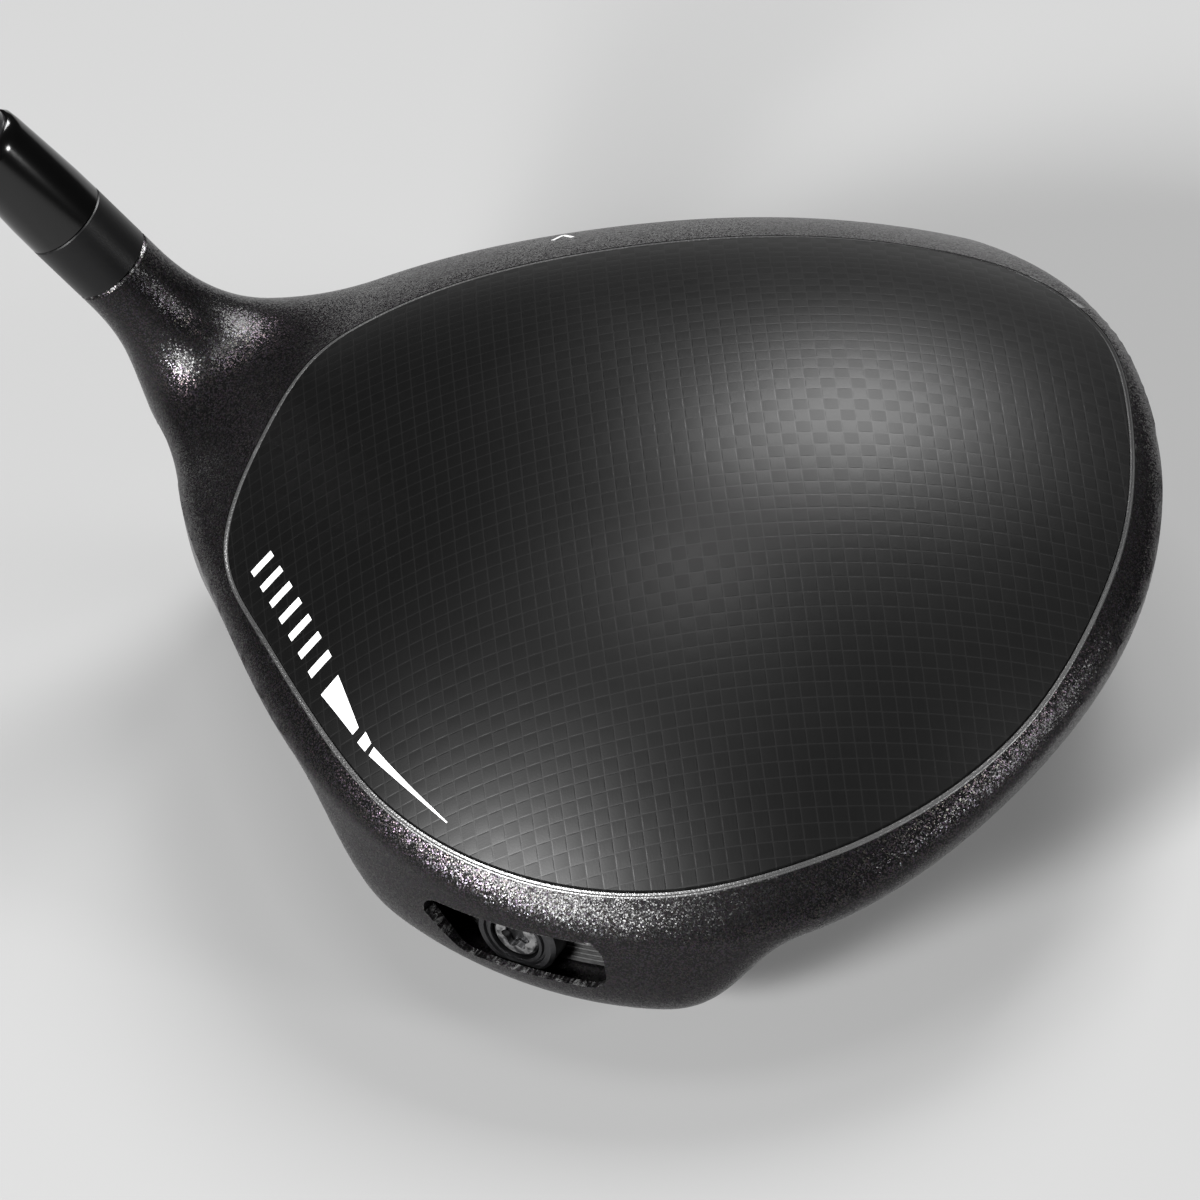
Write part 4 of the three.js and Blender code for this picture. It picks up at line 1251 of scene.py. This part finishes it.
RIBS = 13
RIB_PITCH = 0.8
RIB_RADIUS = 0.22
rib_sweep = 2 * (CHAMBER_HALF[0] - 1.4) / TRACK_RADIUS
ribs = grown(
    "rail_ribs", rib_tree(), Count=RIBS, Pitch=RIB_PITCH * MM, Radius=(TRACK_RADIUS - RAIL_DEPTHS[0]) * MM,
    Start=TRACK_DIRECTION + SLOT_SHIFT / TRACK_RADIUS - rib_sweep / 2, Sweep=rib_sweep, Rib=RIB_RADIUS * MM,
    Middle=(*(TRACK_AXIS * MM), (TRACK_HEIGHT - (RIBS - 1) / 2 * RIB_PITCH) * MM),
    Finish=FINISHES["track_plastic"],
)
tidy_mesh(ribs.data)
tidy_mesh(rail.data)
place_piece(ribs, "head", "track_plastic")
place_piece(rail, "head", "track_plastic", "track_rail")
print("rail with", RIBS, "ribs,", triangles(ribs), "triangles")

# %% [markdown]
# ## The hosel's adapter, the ferrule and the shaft
#
# These are all turned about one axis, so a lathe profile says everything. The adapter ring shows between
# hosel and ferrule, with a fine gap on each side. Small chamfers catch the light where parts meet, as they
# do on machined parts.

# %% Adapter, ferrule, shaft
SLEEVE_RADIUS = 4.95
SLEEVE_FOOT = -5.4
SPIGOT_RADIUS = 3.2
SPLINES = 8
SPLINE_HEIGHT = 0.6
RING_TOP = 38.2
FERRULE_TOP = 54.8
FERRULE_TIP_RADIUS = 5.15
TIP_RADIUS = 4.25
BUTT_RADIUS = 7.6
SHAFT_WALL = 1.2
SHAFT_FOOT = 7
TAPER_END = 900
CLUB_END = 1121
GRIP_LENGTH = 272
GRIP_RADII = (9.2, 13.4)
CAP_THICKNESS = 5
CHAMFER = 0.15
BOLT_TIP = 1.8

ring_foot = HOSEL_TOP + 0.15
sleeve = piece("adapter_sleeve_turned", *turned([
    (0, 0), (SLEEVE_RADIUS, 0), (SLEEVE_RADIUS, ring_foot), (HOSEL_RADIUS - CHAMFER, ring_foot),
    (HOSEL_RADIUS, ring_foot + CHAMFER), (HOSEL_RADIUS, RING_TOP - CHAMFER),
    (HOSEL_RADIUS - CHAMFER, RING_TOP), (0, RING_TOP),
]))
spline_angle = np.linspace(0, 2 * math.pi, ROUND, endpoint=False)
spline_wave = np.clip(0.5 + 1.6 * np.cos(SPLINES * spline_angle) - 0.9, 0, 1)
spline_radius = SPIGOT_RADIUS + SPLINE_HEIGHT * spline_wave
spigot_rows = [(AXIS_FOOT + SLEEVE_FOOT * AXIS)[None]]
spigot_rows += [on_axis(spline_radius, spline_angle, height) for height in (SLEEVE_FOOT, 0.5)]
spigot_rows += [(AXIS_FOOT + 0.5 * AXIS)[None]]
carve(sleeve, *skin(spigot_rows), operation="UNION")
carve(sleeve, *rod(TIP_RADIUS + 0.15, SHAFT_FOOT - 0.7, RING_TOP + 3))
carve(sleeve, *rod(BOLT_RADIUS + 0.15, SLEEVE_FOOT - 3, BOLT_TIP + 1.2))
tidy_mesh(sleeve.data)
place_piece(sleeve, "shaft_assembly", "adapter_black", "adapter_sleeve")

bore, foot = TIP_RADIUS + 0.15, RING_TOP + 0.1
ferrule = piece("ferrule_turned", *turned([
    (bore, foot), (HOSEL_RADIUS - CHAMFER, foot), (HOSEL_RADIUS, foot + CHAMFER),
    (HOSEL_RADIUS - 0.05, foot + 4), (HOSEL_RADIUS - 0.22, foot + 8),
    (FERRULE_TIP_RADIUS + 0.08, FERRULE_TOP - 2), (FERRULE_TIP_RADIUS - 0.1, FERRULE_TOP - 0.45),
    (FERRULE_TIP_RADIUS - 0.45, FERRULE_TOP), (bore, FERRULE_TOP),
], wrapped=True))
place_piece(ferrule, "shaft_assembly", "ferrule_gloss", "ferrule")


def shaft_radius(s):
    share = np.clip((s - FERRULE_TOP) / (TAPER_END - FERRULE_TOP), 0, 1)
    return TIP_RADIUS + (BUTT_RADIUS - TIP_RADIUS) * share


grip_foot = CLUB_END - GRIP_LENGTH
grip_top = CLUB_END - CAP_THICKNESS
shaft_top = grip_top - 0.3
stations = np.concatenate([np.linspace(SHAFT_FOOT, grip_foot, 24), [TAPER_END, shaft_top]])
shaft = piece("shaft_turned", *turned(
    [(shaft_radius(s), s) for s in stations] + [(shaft_radius(s) - SHAFT_WALL, s) for s in stations[::-1]],
    wrapped=True, count=96,
))
place_piece(shaft, "shaft_assembly", "shaft_paint", "shaft")
print("ring, ferrule and shaft turned; shaft", triangles(shaft), "triangles")

# %% [markdown]
# ## The grip
#
# A grip is a tapered rubber sleeve with a moulded tread and a cap. The tread is hundreds of small lozenges,
# far too many to place by hand, so a Geometry Nodes tree lays one lozenge on each point of a flat grid and
# then wraps the sheet round the taper, like paper round a stick.

# %% Grip sleeve and cap
def grip_radius(s):
    return GRIP_RADII[0] + (GRIP_RADII[1] - GRIP_RADII[0]) * (s - grip_foot) / GRIP_LENGTH


grip_inside = 0.35
grip_stations = [grip_foot, grip_foot + 0.8, *np.linspace(grip_foot + 6, grip_top - 0.4, 12), grip_top - 0.1]
outer = [(grip_radius(s) - (0.8 if k == 0 else 0), s) for k, s in enumerate(grip_stations)]
inner = [(shaft_radius(s) + grip_inside, s) for s in grip_stations[::-1]]
grip = piece("grip_sleeve", *turned(outer + inner, wrapped=True, count=96))
place_piece(grip, "shaft_assembly", "grip_rubber", "grip")

CAP_SPIGOT = 8
VENT_RADIUS = 1
cap_radius = GRIP_RADII[1] + 0.2
plug_radius = BUTT_RADIUS - SHAFT_WALL - 0.3
cap = piece("grip_end_cap", *turned([
    (VENT_RADIUS, grip_top - CAP_SPIGOT), (plug_radius - 0.4, grip_top - CAP_SPIGOT),
    (plug_radius, grip_top - CAP_SPIGOT + 0.6), (plug_radius, grip_top),
    (cap_radius - 0.3, grip_top), (cap_radius, grip_top + 0.4), (cap_radius, CLUB_END - 2.4),
    (cap_radius - 0.5, CLUB_END - 1.1), (cap_radius - 1.6, CLUB_END), (7.0, CLUB_END), (6.6, CLUB_END - 0.5),
    (5.8, CLUB_END - 0.5), (5.4, CLUB_END), (VENT_RADIUS + 0.3, CLUB_END), (VENT_RADIUS, CLUB_END - 0.3),
], wrapped=True, count=96))
place_piece(cap, "shaft_assembly", "grip_rubber", "grip_cap")


# %% Tread, by Geometry Nodes
def tread_tree():
    """Geometry Nodes: lozenges on a grid, wrapped round a taper that runs up its own Z from 0 to Length."""
    tree, given, result = new_growth("grip tread", [
        ("Around", "Int", 20), ("Rows", "Int", 60), ("Length", "Float", 0.2), ("Foot Radius", "Float", 0.009),
        ("Top Radius", "Float", 0.013), ("Lozenge", "Vector", (0.002, 0.003, 0.0005)),
    ])
    g = given.outputs
    gap = math_node(tree, "DIVIDE", 2 * math.pi, g["Around"])
    sheet = math_node(tree, "SUBTRACT", 2 * math.pi, gap)
    grid = node(
        tree, "GeometryNodeMeshGrid",
        Size_X=sheet, Size_Y=g["Length"], Vertices_X=g["Around"], Vertices_Y=g["Rows"],
    )
    lozenge = node(tree, "GeometryNodeMeshCone", Vertices=4, Radius_Top=0.45, Radius_Bottom=1.0, Depth=1.0)
    turned_set = node(tree, "GeometryNodeTransform", Geometry=lozenge.outputs[0])
    tree.links.new(g["Lozenge"], turned_set.inputs["Scale"])
    shape = turned_set.outputs[0]
    copies = node(tree, "GeometryNodeInstanceOnPoints", Points=grid.outputs[0], Instance=shape)
    real = node(tree, "GeometryNodeRealizeInstances", Geometry=copies.outputs[0])
    parts = node(tree, "ShaderNodeSeparateXYZ", Vector=node(tree, "GeometryNodeInputPosition").outputs[0])
    share = math_node(tree, "ADD", math_node(tree, "DIVIDE", parts.outputs[1], g["Length"]), 0.5)
    base = mix_values(tree, share, g["Foot Radius"], g["Top Radius"])
    radius = math_node(tree, "ADD", base, parts.outputs[2])
    place = node(
        tree, "ShaderNodeCombineXYZ",
        X=math_node(tree, "MULTIPLY", radius, math_node(tree, "COSINE", parts.outputs[0])),
        Y=math_node(tree, "MULTIPLY", radius, math_node(tree, "SINE", parts.outputs[0])),
        Z=math_node(tree, "MULTIPLY", share, g["Length"]),
    )
    wrapped = node(tree, "GeometryNodeSetPosition", Geometry=real.outputs[0], Position=place.outputs[0])
    return coat(tree, wrapped.outputs[0], given, result)


TREAD_FOOT, TREAD_TOP = grip_foot + 14, grip_top - 22
TREAD_ROWS = 56
tread = grown(
    "grip_tread", tread_tree(), Around=22, Rows=TREAD_ROWS, Length=(TREAD_TOP - TREAD_FOOT) * MM,
    Foot_Radius=(grip_radius(TREAD_FOOT) - 0.02) * MM, Top_Radius=(grip_radius(TREAD_TOP) - 0.02) * MM,
    Lozenge=(0.11, 1.9 * MM, 0.32 * MM), Finish=FINISHES["grip_rubber"],
)
turn = Matrix([ACROSS, FORWARD, AXIS]).transposed().to_4x4()
turn.translation = Vector(AXIS_FOOT + TREAD_FOOT * AXIS) * MM
tread.data.transform(turn)
tidy_mesh(tread.data)
place_piece(tread, "shaft_assembly", "grip_rubber")
print("tread", triangles(tread), "triangles")

# %% [markdown]
# ## Parts kept from the frame
#
# Parts that sit inside, or are small and plain, keep their imported meshes and only get a finish. Then the
# triangles of all shown parts are counted.

# %% Finishes for the kept parts
KEPT = {
    "slider_nut": "steel", "slider_washer": "steel", "hosel_seat": "steel", "adapter_bolt": "steel",
    "bolt_washer": "steel", "bolt_retainer": "track_plastic", "shaft_tip_plug": "plug", "grip_tape": "tape",
}
for node_name, slot_name in KEPT.items():
    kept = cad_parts[node_name]
    kept.data.materials.clear()
    kept.data.materials.append(FINISHES[slot_name])
shown = [made for made in bpy.context.scene.objects if made.type == "MESH" and not made.hide_render]
total = sum(triangles(made) for made in shown)
print("triangles in all:", total)
